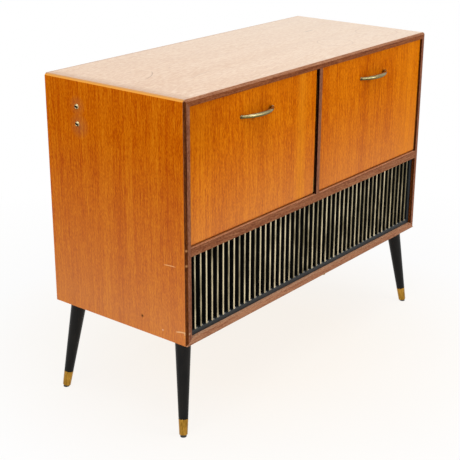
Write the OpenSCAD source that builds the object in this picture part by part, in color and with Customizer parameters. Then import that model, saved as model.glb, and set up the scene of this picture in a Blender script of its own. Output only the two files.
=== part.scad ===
// Radiogram on splayed legs: a veneered case with two drop-down doors over a slatted
// loudspeaker grille. Record deck behind the left door, radio behind the right one.
// Millimetres. Front is -Y, +Z is up, the origin is on the floor under the middle of
// the whole outline, handles included.

/* [Case] */
// Width over the side boards
case_w = 1000; // [940:10:1060]
// Depth from the front lipping to the back edge
case_d = 420; // [420:5:460]
// Height of the case without its legs
case_h = 562; // [556:2:580]
// Thickness of the veneered boards
board_t = 16; // [15:1:18]
// Thickness of the shelf under the doors, seen as the mid rail
shelf_t = 20; // [18:1:22]
// Thickness of the partition between the doors
partition_t = 13; // [13:1:18]
// Thickness of the solid-wood lipping on the front
lip_t = 6; // [6:1:8]
// Chamfer along the outer edges of the case
edge_c = 5; // [3:0.5:5.5]

/* [Legs] */
// Height of the case above the floor
leg_h = 235; // [200:5:260]
// Diameter of a leg at its top
leg_top_d = 38; // [34:1:42]
// Diameter of a leg where the brass ferrule starts
leg_low_d = 22.5; // [20:0.5:25]
// Diameter of a ferrule at its lower end
ferrule_end_d = 19; // [18:0.5:20]
// Share of the leg's length above its ferrule
ferrule_from = 0.82; // [0.75:0.01:0.86]
// How far a foot stands out sideways from the leg's top
splay_x = 34; // [20:1:40]
// How far a foot stands out to the front or back
splay_y = 27; // [15:1:32]
// Distance from the side of the case to the middle of a leg's top
leg_in_x = 38; // [36:1:50]
// Distance from the front to the middle of a front leg's top
leg_in_front = 46; // [40:1:55]
// Distance from the back to the middle of a back leg's top
leg_in_back = 40; // [36:1:50]

/* [Doors] */
// Thickness of a door leaf
door_t = 18; // [16:1:20]
// How far the doors stand back from the front of the lipping
door_recess = 5; // [4:0.5:6]
// Working gap round a door
door_gap = 1.5; // [1.5:0.1:2]
// Wider gap at the left door's inner edge
inner_gap = 5.5; // [2:0.5:6]
// Opening angle of a door
door_open = 90; // [80:1:90]
// Distance of the pivot axis from the door's front and lower faces
pivot_in = 6; // [5.5:0.5:6.5]

/* [Handles] */
// Distance between a handle's two feet
handle_c = 115; // [110:1:128]
// How far a handle stands out from its door
handle_out = 25; // [22:1:28]
// Diameter of the handle bar at its middle
handle_d = 10; // [8:0.5:11]
// Diameter of the handle bar at its feet
handle_end_d = 7; // [5.5:0.5:8]
// Distance from a door's top edge to its handle
handle_down = 57; // [50:1:70]

/* [Door stays] */
// Distance of both stay pivots from the door's pivot axis
stay_r = 150; // [140:5:155]
// Angle by which the swivel eye lies behind the pivot on the door
stay_lag = 15; // [15:1:18]
// Diameter of the sliding rod
stay_rod_d = 5; // [4.5:0.5:5]

/* [Grille] */
// Number of upright slats
slat_count = 47; // [43:2:47]
// Distance from one slat to the next
slat_pitch = 20; // [19.4:0.1:20]
// Thickness of a black slat
slat_t = 3; // [2:0.5:4]
// Depth of a black slat behind its edge strip
slat_d = 16; // [12:1:17]
// Width of the gold strip on a slat's front edge
strip_w = 4; // [3.6:0.2:5]
// How far the grille stands back from the front of the lipping
grille_recess = 9; // [8:0.5:10]

/* [Record deck] */
// Radius of the platter
platter_r = 135; // [130:1:138]
// Inner radius of the platter's rim, where the idler runs
rim_r = 130; // [125:1:130]
// Radius of the rubber-tyred idler wheel
idler_r = 22; // [20:1:24]
// Speed of the motor in turns a minute
motor_rpm = 1400; // [1380:10:1420]
// Distance from the tonearm's pivot to its stylus
arm_l = 215; // [210:1:218]

/* [Radio] */
// Number of push keys
key_count = 5; // [5:1:5]
// Distance from one push key to the next
key_pitch = 48; // [46:1:50]
// Diameter of the volume and tuning knobs
knob_d = 44; // [40:1:48]
// Diameter of the tone knob
tone_knob_d = 34; // [30:1:38]

/* [Hidden] */

$fn = 64;
// Clearance of a hole round a fixed pin, and of a bore round a turning one
fixed_gap = 0.1;
run_gap = 0.05;
// Glue line between pieces that make up one frame
glue = 0.05;
// Long enough to cut right through anything here
big = 1200;

// Case, worked out from the sizes above
half_w = case_w / 2;
in_x = half_w - board_t;
case_z = leg_h;
top_z = case_z + case_h;
floor_z = case_z + board_t;
ceiling_z = top_z - board_t;
shelf_z = case_z + 211;
deck_z = shelf_z + shelf_t;
handle_proud = handle_out - door_recess;
front_y = (handle_proud - case_d) / 2;
back_y = front_y + case_d;
board_y = front_y + lip_t;
rebate_w = 8;
rebate_d = 9;
back_t = 5;
inner_back_y = back_y - rebate_d;

// Doors: a pivot axis just inside the lower front edge of each leaf
door_y = front_y + door_recess;
door_z = deck_z + door_gap;
door_h = ceiling_z - deck_z - 2 * door_gap;
pivot_y = door_y + pivot_in;
pivot_z = door_z + pivot_in;
left_door_x = [-in_x + door_gap, -partition_t / 2 - inner_gap];
right_door_x = [partition_t / 2 + door_gap, in_x - door_gap - 0.5];
pin_r = 2.5;
bush_r = 4;
bush_l = 6;
plate_t = 1.5;

// Stays, seen from the side with the pivot axis at [0, 0]
inner_face = door_t - pivot_in;
stay_post = 9;
p_ang = acos((inner_face + stay_post) / stay_r);
a_ang = p_ang - stay_lag;
stay_p = stay_r * [cos(p_ang), sin(p_ang)];
stay_a = stay_r * [cos(a_ang), sin(a_ang)];
rod_tilt = (p_ang + a_ang) / 2 - 90;
rod_x = 12;
eye_r = 9;
eye_w = 16;
stop_l = 5;
rod_l = 2 * stay_r * sin((door_open + stay_lag) / 2) + eye_r + 0.5 + stop_l;

// Record deck
deck_x = [-460, -20];
deck_y = [front_y + 34, front_y + 364];
plinth_h = 55;
plinth_t = 12;
plate_h = 2.5;
plate_z = deck_z + plinth_h + plate_h;
platter_at = [-290, front_y + 190];
platter_h = 22;
platter_up = 3;
platter_wall = 3.5;
mat_h = 3;
mat_top = platter_up + platter_h + mat_h;
spindle_r = 3.6;
idler_z = 13.25;
idler_h = 4;
speeds = [78, 45, 33.33, 16.67];
step_h = 4.5;
idler_ang = 120;
idler_at = platter_at + (rim_r - idler_r - 0.3) * [cos(idler_ang), sin(idler_ang)];
motor_ang = idler_ang - 80;
motor_at = idler_at + (idler_r + pulley_r(speeds[2]) + 0.3) * [cos(motor_ang), sin(motor_ang)];
arm_at = [-97, front_y + 270];
arm_z = mat_top + 18;
arm_r = 4.5;
rest_back = 150;
knob_at = [-55, front_y + 75];

// Radio
panel_x = [partition_t / 2 + 0.5, in_x - 25];
panel_y = front_y + 60;
panel_t = 5;
window_x = [panel_x[0] + 30, panel_x[1] - 30];
window_z = [deck_z + 190, deck_z + 280];
glass_t = 4;
scale_y = panel_y + 16;
shaft_r = 3;
knob_z = deck_z + 66;
volume_x = panel_x[0] + 62;
tuning_x = panel_x[1] - 62;
tone_x = (panel_x[0] + panel_x[1]) / 2;
key_z = deck_z + 142;
key_w = 42;
key_h = 17;
chassis_x = [panel_x[0] + 35, panel_x[1] - 35];
chassis_y = [panel_y + 42, panel_y + 230];
chassis_z = [deck_z, deck_z + 96];
chassis_t = 2;

// Loudspeakers
baffle_y = front_y + 29.5;
baffle_t = 12;
speaker_x = 290;
speaker_z = (floor_z + shelf_z) / 2;
speaker_r = 80;

function pulley_r(rpm) = rim_r * rpm / motor_rpm;
function mix(a, b, t) = a + (b - a) * t;

module block(lo, hi) {
    translate(lo) cube(hi - lo);
}

// A bar from x0 to x1, round, along X
module x_bar(x0, x1, r) {
    translate([x0, 0, 0]) rotate([0, 90, 0]) cylinder(r = r, h = x1 - x0);
}

// The same, from y0 to y1 along Y
module y_bar(y0, y1, r) {
    translate([0, y0, 0]) rotate([-90, 0, 0]) cylinder(r = r, h = y1 - y0);
}

// A flat plate in the XY plane with round corners
module round_plate(lo, hi, r, h) {
    linear_extrude(h) {
        translate(lo + [r, 0]) square([hi[0] - lo[0] - 2 * r, hi[1] - lo[1]]);
        translate(lo + [0, r]) square([hi[0] - lo[0], hi[1] - lo[1] - 2 * r]);
        for (x = [lo[0] + r, hi[0] - r], y = [lo[1] + r, hi[1] - r]) {
            translate([x, y]) circle(r);
        }
    }
}

// A front-view outline made into a solid from y0 back to y1
module from_front(y0, y1) {
    translate([0, y1, 0]) rotate([90, 0, 0]) linear_extrude(y1 - y0) children();
}

// A side-view outline, drawn as [y, z], made into a solid from x0 to x1
module from_side(x0, x1) {
    translate([x0, 0, 0]) rotate([90, 0, 90]) linear_extrude(x1 - x0) children();
}

// Front view of the closed case, with its two top corners chamfered
module case_outline() {
    polygon([
        [-half_w, case_z], [half_w, case_z], [half_w, top_z - edge_c], [half_w - edge_c, top_z],
        [-half_w + edge_c, top_z], [-half_w, top_z - edge_c]
    ]);
}

// Space that the back board and its rebate take out of the case boards
module back_rebate() {
    block([-in_x - rebate_w, inner_back_y, floor_z - rebate_w], [in_x + rebate_w, back_y + 1, ceiling_z + rebate_w]);
}

// Ten places round the edge of the back board, with +Y running out of the case
module back_screw_places() {
    edge_x = in_x + rebate_w / 2;
    edge_z = [floor_z - rebate_w / 2, ceiling_z + rebate_w / 2];
    for (x = [-0.8, 0, 0.8], z = edge_z) {
        translate([x * in_x, 0, z]) children();
    }
    for (side = [-1, 1], z = [mix(edge_z[0], edge_z[1], 0.3), mix(edge_z[0], edge_z[1], 0.7)]) {
        translate([side * edge_x, 0, z]) children();
    }
}

module back_screw_holes() {
    back_screw_places() y_bar(inner_back_y - 14, back_y, 1.5 + fixed_gap);
}

// Places of the two screws in the left side, with +X running into the case
module side_screw_places() {
    for (down = [63, 103]) {
        translate([-half_w, back_y - 100, top_z - down]) children();
    }
}

// Children drawn about a leg's top middle, with +Z running down the leg. fore is -1 at the front
module at_leg(side, fore) {
    in_y = fore < 0 ? front_y + leg_in_front : back_y - leg_in_back;
    lean = [side * splay_x, fore * splay_y, -leg_h];
    tilt = acos(leg_h / norm(lean));
    translate([side * (half_w - leg_in_x), in_y, leg_h])
        rotate(a = tilt, v = [lean[1], -lean[0], 0])
        rotate([180, 0, 0])
        children();
}

module at_each_leg() {
    for (side = [-1, 1], fore = [-1, 1]) at_leg(side, fore) children();
}

leg_l = norm([splay_x, splay_y, leg_h]);
bolt_r = 4;
bolt_in = 34;
block_h = 24;

module leg_bolt_holes() {
    at_each_leg() translate([0, 0, -60]) cylinder(r = bolt_r + fixed_gap, h = 70);
}

// Bores in the inner faces that take the door bushes
module bush_bores() {
    for (x = [-in_x - bush_l, -partition_t / 2, partition_t / 2 - bush_l, in_x]) {
        translate([x, pivot_y, pivot_z]) x_bar(0, bush_l, bush_r + run_gap);
    }
}

module side_board(side) {
    difference() {
        from_front(board_y, back_y) polygon([
            [side * half_w, case_z], [side * half_w, top_z - edge_c],
            [side * (half_w - edge_c / 2), top_z - edge_c / 2],
            [side * in_x, ceiling_z], [side * in_x, case_z]
        ]);
        back_rebate();
        back_screw_holes();
        bush_bores();
        if (side < 0) side_screw_places() x_bar(-1, 14, 2 + fixed_gap);
    }
}

module left_side_board() {
    color("#b8651c") side_board(-1);
}

module right_side_board() {
    color("#b8651c") side_board(1);
}

module top_board() {
    color("#cf8a4a") difference() {
        from_front(board_y, back_y) polygon([
            [-half_w + edge_c, top_z], [half_w - edge_c, top_z],
            [half_w - edge_c / 2, top_z - edge_c / 2], [in_x, ceiling_z],
            [-in_x, ceiling_z], [-half_w + edge_c / 2, top_z - edge_c / 2]
        ]);
        back_rebate();
        back_screw_holes();
    }
}

module bottom_board() {
    color("#b8651c") difference() {
        block([-in_x, board_y, case_z], [in_x, back_y, floor_z]);
        back_rebate();
        back_screw_holes();
        leg_bolt_holes();
        translate([underside_x, underside_y, case_z - 1]) cylinder(r = 2 + fixed_gap, h = 12);
    }
}

module shelf_board() {
    color("#a85a1a") block([-in_x, board_y, shelf_z], [in_x, inner_back_y, deck_z]);
}

module partition() {
    color("#a85a1a") difference() {
        block([-partition_t / 2, board_y, deck_z], [partition_t / 2, inner_back_y, ceiling_z]);
        bush_bores();
    }
}

// Rounded vent slots in rows, behind the radio and behind the loudspeakers
vent_l = 70;
vent_w = 5;
vent_pitch = 15;

module vent_slot() {
    block([-vent_l / 2, inner_back_y - 1, -vent_w / 2], [vent_l / 2, back_y, vent_w / 2]);
    for (end = [-1, 1]) translate([end * vent_l / 2, 0, 0]) y_bar(inner_back_y - 1, back_y, vent_w / 2);
}

module vent_group(x, z, columns, rows) {
    for (i = [0:columns - 1], k = [0:rows - 1]) {
        translate([x + (i - (columns - 1) / 2) * (vent_l + 25), 0, z + (k - (rows - 1) / 2) * vent_pitch]) vent_slot();
    }
}

grommet_at = [-110, shelf_z - 60];

module back_board() {
    color("#6b4a2b") difference() {
        block(
            [-in_x - rebate_w + 0.5, inner_back_y, floor_z - rebate_w + 0.5],
            [in_x + rebate_w - 0.5, inner_back_y + back_t, ceiling_z + rebate_w - 0.5]
        );
        back_screw_holes();
        vent_group(240, deck_z + 190, 3, 6);
        for (side = [-1, 1]) vent_group(side * speaker_x, speaker_z, 2, 6);
        translate([grommet_at[0], 0, grommet_at[1]]) y_bar(inner_back_y - 1, back_y, 6);
    }
}

// One mitred length of lipping along X: outer edge at z = 0, front face at y = 0
module lipping_length(length, chamfer) {
    intersection() {
        from_side(0, length) polygon([
            [lip_t, 0], [chamfer, 0], [0, chamfer], [0, board_t], [lip_t, board_t]
        ]);
        from_front(-1, lip_t + 1) polygon([
            [glue, 0], [length - glue, 0], [length - board_t - glue, board_t], [board_t + glue, board_t]
        ]);
    }
}

// Four mitred lengths, the rail at the shelf and the one on the partition
module front_lipping() {
    color("#7a4636") intersection() {
        from_front(front_y, board_y) case_outline();
        union() {
            translate([-half_w, front_y, case_z]) lipping_length(case_w, 0.8);
            translate([half_w, front_y, top_z]) rotate([0, 180, 0]) lipping_length(case_w, edge_c);
            translate([half_w, front_y, case_z]) rotate([0, -90, 0]) lipping_length(case_h, edge_c);
            translate([-half_w, front_y, top_z]) rotate([0, 90, 0]) lipping_length(case_h, edge_c);
            block([-in_x + glue, front_y, shelf_z], [in_x - glue, board_y, deck_z]);
            block([-partition_t / 2, front_y, deck_z + glue], [partition_t / 2, board_y, ceiling_z - glue]);
        }
    }
}

// A slotted round-head wood screw, head under z = 0 and shank along +Z
module slotted_screw(head_r, head_h, shank_r, length) {
    difference() {
        rotate_extrude() polygon([
            [0, -head_h], [head_r * 0.55, -head_h * 0.9], [head_r * 0.87, -head_h * 0.55],
            [head_r, 0], [shank_r, 0], [shank_r, length - 4], [0, length]
        ]);
        block([-head_r, -head_r * 0.13, -head_h - 1], [head_r, head_r * 0.13, -head_h * 0.45]);
    }
}

underside_x = 56;
underside_y = board_y + 4.5;

module case_screws() {
    color("#9a7d3a") {
        side_screw_places() rotate([35, 0, 0]) rotate([0, 90, 0]) slotted_screw(6.2, 2.8, 2, 13);
        back_screw_places() translate([0, inner_back_y + back_t, 0]) rotate([90, 0, 0]) slotted_screw(3.6, 2, 1.5, 16);
        translate([underside_x, underside_y, case_z]) slotted_screw(4.4, 8, 2, 10);
    }
}

module lead_grommet() {
    flange_y = inner_back_y + back_t;
    color("#1c1c1c") translate([grommet_at[0], 0, grommet_at[1]]) difference() {
        union() {
            y_bar(inner_back_y - 2, flange_y + 2, 5.9);
            y_bar(flange_y, flange_y + 2, 9);
            y_bar(inner_back_y - 2, inner_back_y, 9);
        }
        y_bar(inner_back_y - 3, back_y, 3.5);
    }
}

catch_w = 44;
catch_y = door_y + door_t + 1.7;

// Four bushes for the door pins, two swivel posts for the stays and two magnetic catches
module case_hardware() {
    color("#b08d45") {
        for (x = [-in_x - bush_l, -partition_t / 2, partition_t / 2 - bush_l, in_x]) {
            translate([x, pivot_y, pivot_z]) difference() {
                x_bar(0, bush_l, bush_r);
                x_bar(-1, bush_l + 1, pin_r + run_gap);
            }
        }
        for (side = [-1, 1]) at_wall(side) translate([0, stay_a[0], stay_a[1]]) {
            x_bar(0, plate_t, 11);
            x_bar(plate_t, rod_x - eye_w / 2 + 4.2, 3);
        }
        for (x = [left_door_x, right_door_x]) {
            middle = (x[0] + x[1]) / 2;
            difference() {
                block([middle - catch_w / 2, catch_y, ceiling_z - 13], [middle + catch_w / 2, catch_y + 14, ceiling_z]);
                block([middle - catch_w / 2 + 4, catch_y - 1, ceiling_z - 8], [middle + catch_w / 2 - 4, catch_y + 2, ceiling_z - 6]);
            }
        }
    }
}

// Legs and what holds them

module leg_blocks() {
    half = 27;
    middle_y = [baffle_y + baffle_t + 0.5 + half, inner_back_y - 3 - half];
    color("#c9a46a") difference() {
        for (side = [-1, 1], y = middle_y) {
            x = side * (in_x - 4 - half);
            block([x - half, y - half, floor_z], [x + half, y + half, floor_z + block_h]);
        }
        leg_bolt_holes();
    }
}

module leg_bolts() {
    nut_h = 6.5;
    nut_z = -(board_t + block_h) * leg_l / leg_h - 1.5;
    color("#8a8a88") at_each_leg() {
        translate([0, 0, nut_z - nut_h - 4]) cylinder(r = bolt_r, h = bolt_in - nut_z + nut_h + 4);
        translate([0, 0, nut_z - nut_h]) cylinder(r = 7.5, h = nut_h, $fn = 6);
    }
}

leg_low = leg_l * ferrule_from;
ferrule_end = leg_l - 5;
ferrule_wall = 1;

module leg(side, fore) {
    lead_in = 10;
    taper = (leg_top_d - leg_low_d) / 2 / leg_low;
    top_r = leg_top_d / 2;
    color("#232221") difference() {
        at_leg(side, fore) difference() {
            union() {
                translate([0, 0, -lead_in]) cylinder(r1 = top_r + taper * lead_in, r2 = leg_low_d / 2, h = leg_low + lead_in);
                translate([0, 0, leg_low - 1]) cylinder(
                    r1 = leg_low_d / 2 - ferrule_wall - glue, r2 = ferrule_end_d / 2 - ferrule_wall - glue,
                    h = ferrule_end - leg_low - 1 - glue
                );
            }
            translate([0, 0, -lead_in]) cylinder(r = bolt_r + fixed_gap, h = lead_in + bolt_in + 2);
        }
        block([-big, -big, leg_h], [big, big, leg_h + 60]);
    }
}

module front_left_leg() {
    leg(-1, -1);
}

module front_right_leg() {
    leg(1, -1);
}

module back_left_leg() {
    leg(-1, 1);
}

module back_right_leg() {
    leg(1, 1);
}

module ferrules() {
    upper = leg_low_d / 2 + 0.3;
    lower = ferrule_end_d / 2 + 0.3;
    color("#b08a3c") at_each_leg() difference() {
        translate([0, 0, leg_low]) cylinder(r1 = upper, r2 = lower, h = ferrule_end - leg_low);
        translate([0, 0, leg_low - 1]) cylinder(
            r1 = leg_low_d / 2 - ferrule_wall, r2 = ferrule_end_d / 2 - ferrule_wall,
            h = ferrule_end - leg_low - 1
        );
        translate([0, 0, ferrule_end - 3]) cylinder(r = 3, h = 4);
    }
}

module glides() {
    color("#1b1b1b") difference() {
        at_each_leg() {
            translate([0, 0, ferrule_end]) cylinder(r = 7.5, h = 12);
            translate([0, 0, ferrule_end - 2]) cylinder(r = 2.9, h = 3);
        }
        block([-big, -big, -40], [big, big, 0]);
    }
}

// Grille and loudspeakers

grille_y = front_y + grille_recess;
rail_h = 12;
top_rail_h = 5;
stile_w = 10;
frame_d = slat_d + 3;

module grille_frame() {
    lo = [-in_x + 0.5, grille_y, floor_z];
    hi = [in_x - 0.5, grille_y + frame_d, shelf_z];
    color("#2b3033") {
        block(lo, [hi[0], hi[1], lo[2] + rail_h]);
        block([lo[0], lo[1], hi[2] - top_rail_h], hi);
        for (x = [lo[0], hi[0] - stile_w]) {
            block([x, lo[1], lo[2] + rail_h + glue], [x + stile_w, hi[1], hi[2] - top_rail_h - glue]);
        }
    }
}

module at_each_slat() {
    for (i = [0:slat_count - 1]) {
        translate([(i - (slat_count - 1) / 2) * slat_pitch, grille_y, 0]) children();
    }
}

module grille_slats() {
    color("#141414") at_each_slat()
        block([-slat_t / 2, 2.5, floor_z + rail_h], [slat_t / 2, 2.5 + slat_d, shelf_z - top_rail_h]);
}

// Each strip is a shallow arch in plan, wrapped on the slat's front edge
module slat_strips() {
    arch_h = 1.4;
    arch_r = (pow(strip_w / 2, 2) + pow(arch_h, 2)) / (2 * arch_h);
    color("#c3ab78") at_each_slat() translate([0, 0, floor_z + rail_h])
        linear_extrude(shelf_z - floor_z - rail_h - top_rail_h) {
            intersection() {
                translate([0, 1.5 - arch_h + arch_r]) circle(arch_r);
                translate([-strip_w / 2, 0]) square([strip_w, 1.5]);
            }
            translate([-strip_w / 2, 1.5]) square([strip_w, 1]);
        }
}

module at_each_speaker() {
    for (side = [-1, 1]) translate([side * speaker_x, baffle_y + baffle_t, speaker_z]) children();
}

module speaker_baffle() {
    color("#1a1a1a") difference() {
        block([-in_x, baffle_y, floor_z], [in_x, baffle_y + baffle_t, shelf_z]);
        at_each_speaker() y_bar(-baffle_t - 1, 1, speaker_r);
    }
}

// Depth of the ledge that a cone's rim is glued on
rim_y = 1.4;

// Pressed basket with four windows, and the magnet behind it
module speaker_frames() {
    flange_r = speaker_r + 9;
    neck_r = 34;
    back_l = 46;
    color("#8d9092") at_each_speaker() {
        difference() {
            rotate([-90, 0, 0]) rotate_extrude() polygon([
                [speaker_r - 1, 0], [flange_r, 0], [flange_r, 2], [speaker_r, 2.8], [neck_r + 2, back_l],
                [18, back_l], [18, back_l - 2], [neck_r, back_l - 2], [speaker_r - 4, 2.4],
                [speaker_r - 4, rim_y], [speaker_r - 1, rim_y]
            ]);
            for (turn = [45, 135]) rotate([0, turn, 0]) block([-flange_r, 12, -16], [flange_r, back_l - 8, 16]);
        }
        y_bar(back_l, back_l + 30, 42);
        y_bar(back_l + 30, back_l + 36, 48);
    }
}

// Paper cone with a rolled edge and a dust dome
module speaker_cones() {
    cone_t = 1;
    color("#3a3634") at_each_speaker() rotate([-90, 0, 0]) rotate_extrude() polygon([
        [0, 18], [9, 20], [15, 24], [19, 28], [speaker_r - 12, 2], [speaker_r - 8, rim_y - cone_t],
        [speaker_r - 1.1, rim_y - cone_t], [speaker_r - 1.1, rim_y], [speaker_r - 7, rim_y],
        [speaker_r - 11, 2 + cone_t], [19.5, 29 + cone_t], [14, 24 + cone_t], [8.5, 20 + cone_t], [0, 18 + cone_t]
    ]);
}

// Doors

// Side view of a leaf about its pivot axis: the lower front edge is rounded about the axis
module door_outline() {
    translate([-pivot_in, 0]) square([door_t, door_h - pivot_in]);
    translate([0, -pivot_in]) square([inner_face, pivot_in + 1]);
    circle(pivot_in);
}

// Brass plate let into a leaf's end, cut to the leaf's outline
module end_plate(x0) {
    translate([0, pivot_y, pivot_z]) intersection() {
        from_side(x0, x0 + plate_t) door_outline();
        block([x0, -pivot_in, -pivot_in], [x0 + plate_t, 9, 36]);
    }
}

module door_leaf(x) {
    color("#c8741f") difference() {
        translate([0, pivot_y, pivot_z]) from_side(x[0], x[1]) door_outline();
        end_plate(x[0]);
        end_plate(x[1] - plate_t);
    }
}

module left_door() {
    door_leaf(left_door_x);
}

module right_door() {
    door_leaf(right_door_x);
}

// Bow handle: a round bar swept along an arc, thicker at its middle, on two small feet
bow_sides = 16;
bow_steps = 20;
foot_h = 3;
bow_rise = handle_out - handle_d / 2 - foot_h + 0.5;
bow_r = (pow(handle_c / 2, 2) + pow(bow_rise, 2)) / (2 * bow_rise);
bow_half = asin(handle_c / 2 / bow_r);

function bow_ring(i) =
    let (t = 2 * i / bow_steps - 1, a = t * bow_half)
    let (r = mix(handle_d, handle_end_d, t * t) / 2)
    let (mid = [bow_r * sin(a), bow_r * (cos(bow_half) - cos(a)) - foot_h + 0.5])
    [for (k = [0:bow_sides - 1])
        let (b = 360 * k / bow_sides)
        [mid[0] + r * cos(b) * sin(a), mid[1] - r * cos(b) * cos(a), r * sin(b)]];

module bow_handle() {
    points = [for (i = [0:bow_steps]) each bow_ring(i)];
    walls = [for (i = [0:bow_steps - 1], k = [0:bow_sides - 1])
        let (n = (k + 1) % bow_sides, a = i * bow_sides, b = a + bow_sides)
        [a + k, a + n, b + n, b + k]];
    ends = [
        [for (k = [bow_sides - 1:-1:0]) k],
        [for (k = [0:bow_sides - 1]) bow_steps * bow_sides + k]
    ];
    polyhedron(points, concat(walls, ends));
    for (side = [-1, 1]) translate([side * handle_c / 2, 0, 0]) y_bar(-foot_h, 0, handle_end_d / 2 + 1.2);
}

module door_handle(x) {
    color("#b9a566") translate([(x[0] + x[1]) / 2, door_y, door_z + door_h - handle_down]) bow_handle();
}

module left_handle() {
    door_handle(left_door_x);
}

module right_handle() {
    door_handle(right_door_x);
}

// Children drawn with x = 0 on the outer wall of a compartment, +X into it,
// and the door's pivot axis at y = z = 0
module at_wall(side) {
    translate([side * in_x, pivot_y, pivot_z]) mirror([side > 0 ? 1 : 0, 0, 0]) children();
}

// Ear on the door that carries the stay's pivot stud
module stay_bracket() {
    ear_x = rod_x + 2.7;
    ear_t = 3;
    translate([0, stay_p[0], stay_p[1]]) {
        block([ear_x - 10, -stay_post, -20], [ear_x + ear_t + 5, -stay_post + plate_t, 20]);
        block([ear_x, -stay_post + plate_t, -7], [ear_x + ear_t, 0, 7]);
        x_bar(ear_x, ear_x + ear_t, 7);
        x_bar(rod_x - 2.7, ear_x, pin_r);
        x_bar(rod_x - 3.7, rod_x - 2.7, pin_r + 1.5);
    }
}

// Pivot plates with their pins, the stay bracket and the strike plate of the catch
module door_fittings(x, gaps, side) {
    color("#b08d45") {
        end_plate(x[0]);
        end_plate(x[1] - plate_t);
        translate([0, pivot_y, pivot_z]) {
            x_bar(x[0] - gaps[0] - bush_l + 0.5, x[0], pin_r);
            x_bar(x[1], x[1] + gaps[1] + bush_l - 0.5, pin_r);
        }
        at_wall(side) stay_bracket();
        middle = (x[0] + x[1]) / 2;
        block(
            [middle - catch_w / 2, door_y + door_t, ceiling_z - 14],
            [middle + catch_w / 2, door_y + door_t + 1.2, ceiling_z - 4]
        );
    }
}

module left_door_fittings() {
    door_fittings(left_door_x, [door_gap, inner_gap], -1);
}

module right_door_fittings() {
    door_fittings(right_door_x, [door_gap, door_gap + 0.5], 1);
}

// The rod is pivoted on the door and slides through the eye on the wall
module stay_rod(side) {
    ring_r = 6;
    color("#b9a566") at_wall(side) translate([rod_x, stay_p[0], stay_p[1]]) rotate([rod_tilt, 0, 0]) {
        difference() {
            union() {
                x_bar(-2, 2, ring_r);
                y_bar(0, rod_l, stay_rod_d / 2);
                y_bar(rod_l - stop_l, rod_l, stay_rod_d / 2 + 2);
            }
            x_bar(-3, 3, pin_r + run_gap);
            block([-5, -ring_r, -ring_r], [-2, ring_r - 1, ring_r]);
            block([2, -ring_r, -ring_r], [5, ring_r - 1, ring_r]);
        }
    }
}

module left_stay_rod() {
    stay_rod(-1);
}

module right_stay_rod() {
    stay_rod(1);
}

module stay_eye(side) {
    color("#b08d45") at_wall(side) translate([rod_x, stay_a[0], stay_a[1]]) difference() {
        x_bar(-eye_w / 2, eye_w / 2, eye_r);
        rotate([rod_tilt, 0, 0]) y_bar(-eye_r - 1, eye_r + 1, stay_rod_d / 2 + 0.3);
        x_bar(-eye_w / 2 - 1, -eye_w / 2 + 4.7, 3 + run_gap);
    }
}

module left_stay_eye() {
    stay_eye(-1);
}

module right_stay_eye() {
    stay_eye(1);
}

// Record deck. Heights are measured from the top of the steel plate

module on_deck(at) {
    translate([at[0], at[1], plate_z]) children();
}

// Open frame of four boards on the shelf
module deck_plinth() {
    z = [deck_z, deck_z + plinth_h];
    color("#8a4f22") {
        for (y = [deck_y[0], deck_y[1] - plinth_t]) {
            block([deck_x[0], y, z[0]], [deck_x[1], y + plinth_t, z[1]]);
        }
        for (x = [deck_x[0], deck_x[1] - plinth_t]) {
            block([x, deck_y[0] + plinth_t + glue, z[0]], [x + plinth_t, deck_y[1] - plinth_t - glue, z[1]]);
        }
    }
}

module deck_plate() {
    edge = 4;
    color("#d8d2c2") difference() {
        union() {
            translate([0, 0, plate_z - plate_h]) round_plate(
                [deck_x[0] + edge, deck_y[0] + edge], [deck_x[1] - edge, deck_y[1] - edge], 12, plate_h
            );
            on_deck(platter_at) translate([0, 0, -30]) cylinder(r = 13, h = 32);
            on_deck(idler_at) cylinder(r = 2, h = idler_z + idler_h / 2 + 1);
            on_deck(idler_at) cylinder(r = 5, h = idler_z - idler_h / 2 - 1);
        }
        on_deck(platter_at) translate([0, 0, -26]) cylinder(r = spindle_r + run_gap, h = 40);
        on_deck(motor_at) translate([0, 0, -plate_h - 1]) cylinder(r = 11, h = 5);
        on_deck(knob_at) translate([0, 0, -plate_h - 1]) cylinder(r = shaft_r + run_gap, h = 5);
    }
}

motor_h = 40;
motor_shaft_r = 2;

module deck_motor() {
    color("#77797a") on_deck(motor_at) translate([0, 0, -plate_h - motor_h - 3]) difference() {
        union() {
            translate([0, 0, 4]) cylinder(r = 34, h = motor_h - 8);
            cylinder(r = 28, h = motor_h);
            for (turn = [0:3]) rotate([0, 0, 45 + 90 * turn]) translate([36, 0, 0]) cylinder(r = 4, h = motor_h + 3);
            cylinder(r = 38, h = 3);
        }
        translate([0, 0, 8]) cylinder(r = motor_shaft_r + run_gap, h = motor_h);
    }
}

// Four steps, one for each speed: a step's radius is the rim's radius times the ratio of speeds
module motor_pulley() {
    color("#b08d45") on_deck(motor_at) {
        translate([0, 0, -motor_h + 10]) cylinder(r = motor_shaft_r, h = motor_h - 8);
        for (i = [0:3]) translate([0, 0, 2 + i * step_h]) cylinder(r = pulley_r(speeds[i]), h = step_h);
    }
}

module idler_wheel() {
    low = idler_z - idler_h / 2;
    color("#2a2a2a") on_deck(idler_at) rotate_extrude() polygon([
        [2 + run_gap, low - 0.8], [6, low - 0.8], [6, low + 1], [16, low + 1], [16, low],
        [idler_r - 0.6, low], [idler_r, low + 0.6], [idler_r, low + idler_h - 0.6],
        [idler_r - 0.6, low + idler_h], [16, low + idler_h], [16, low + idler_h - 1],
        [6, low + idler_h - 1], [6, low + idler_h + 0.5], [2 + run_gap, low + idler_h + 0.5]
    ]);
}

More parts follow.
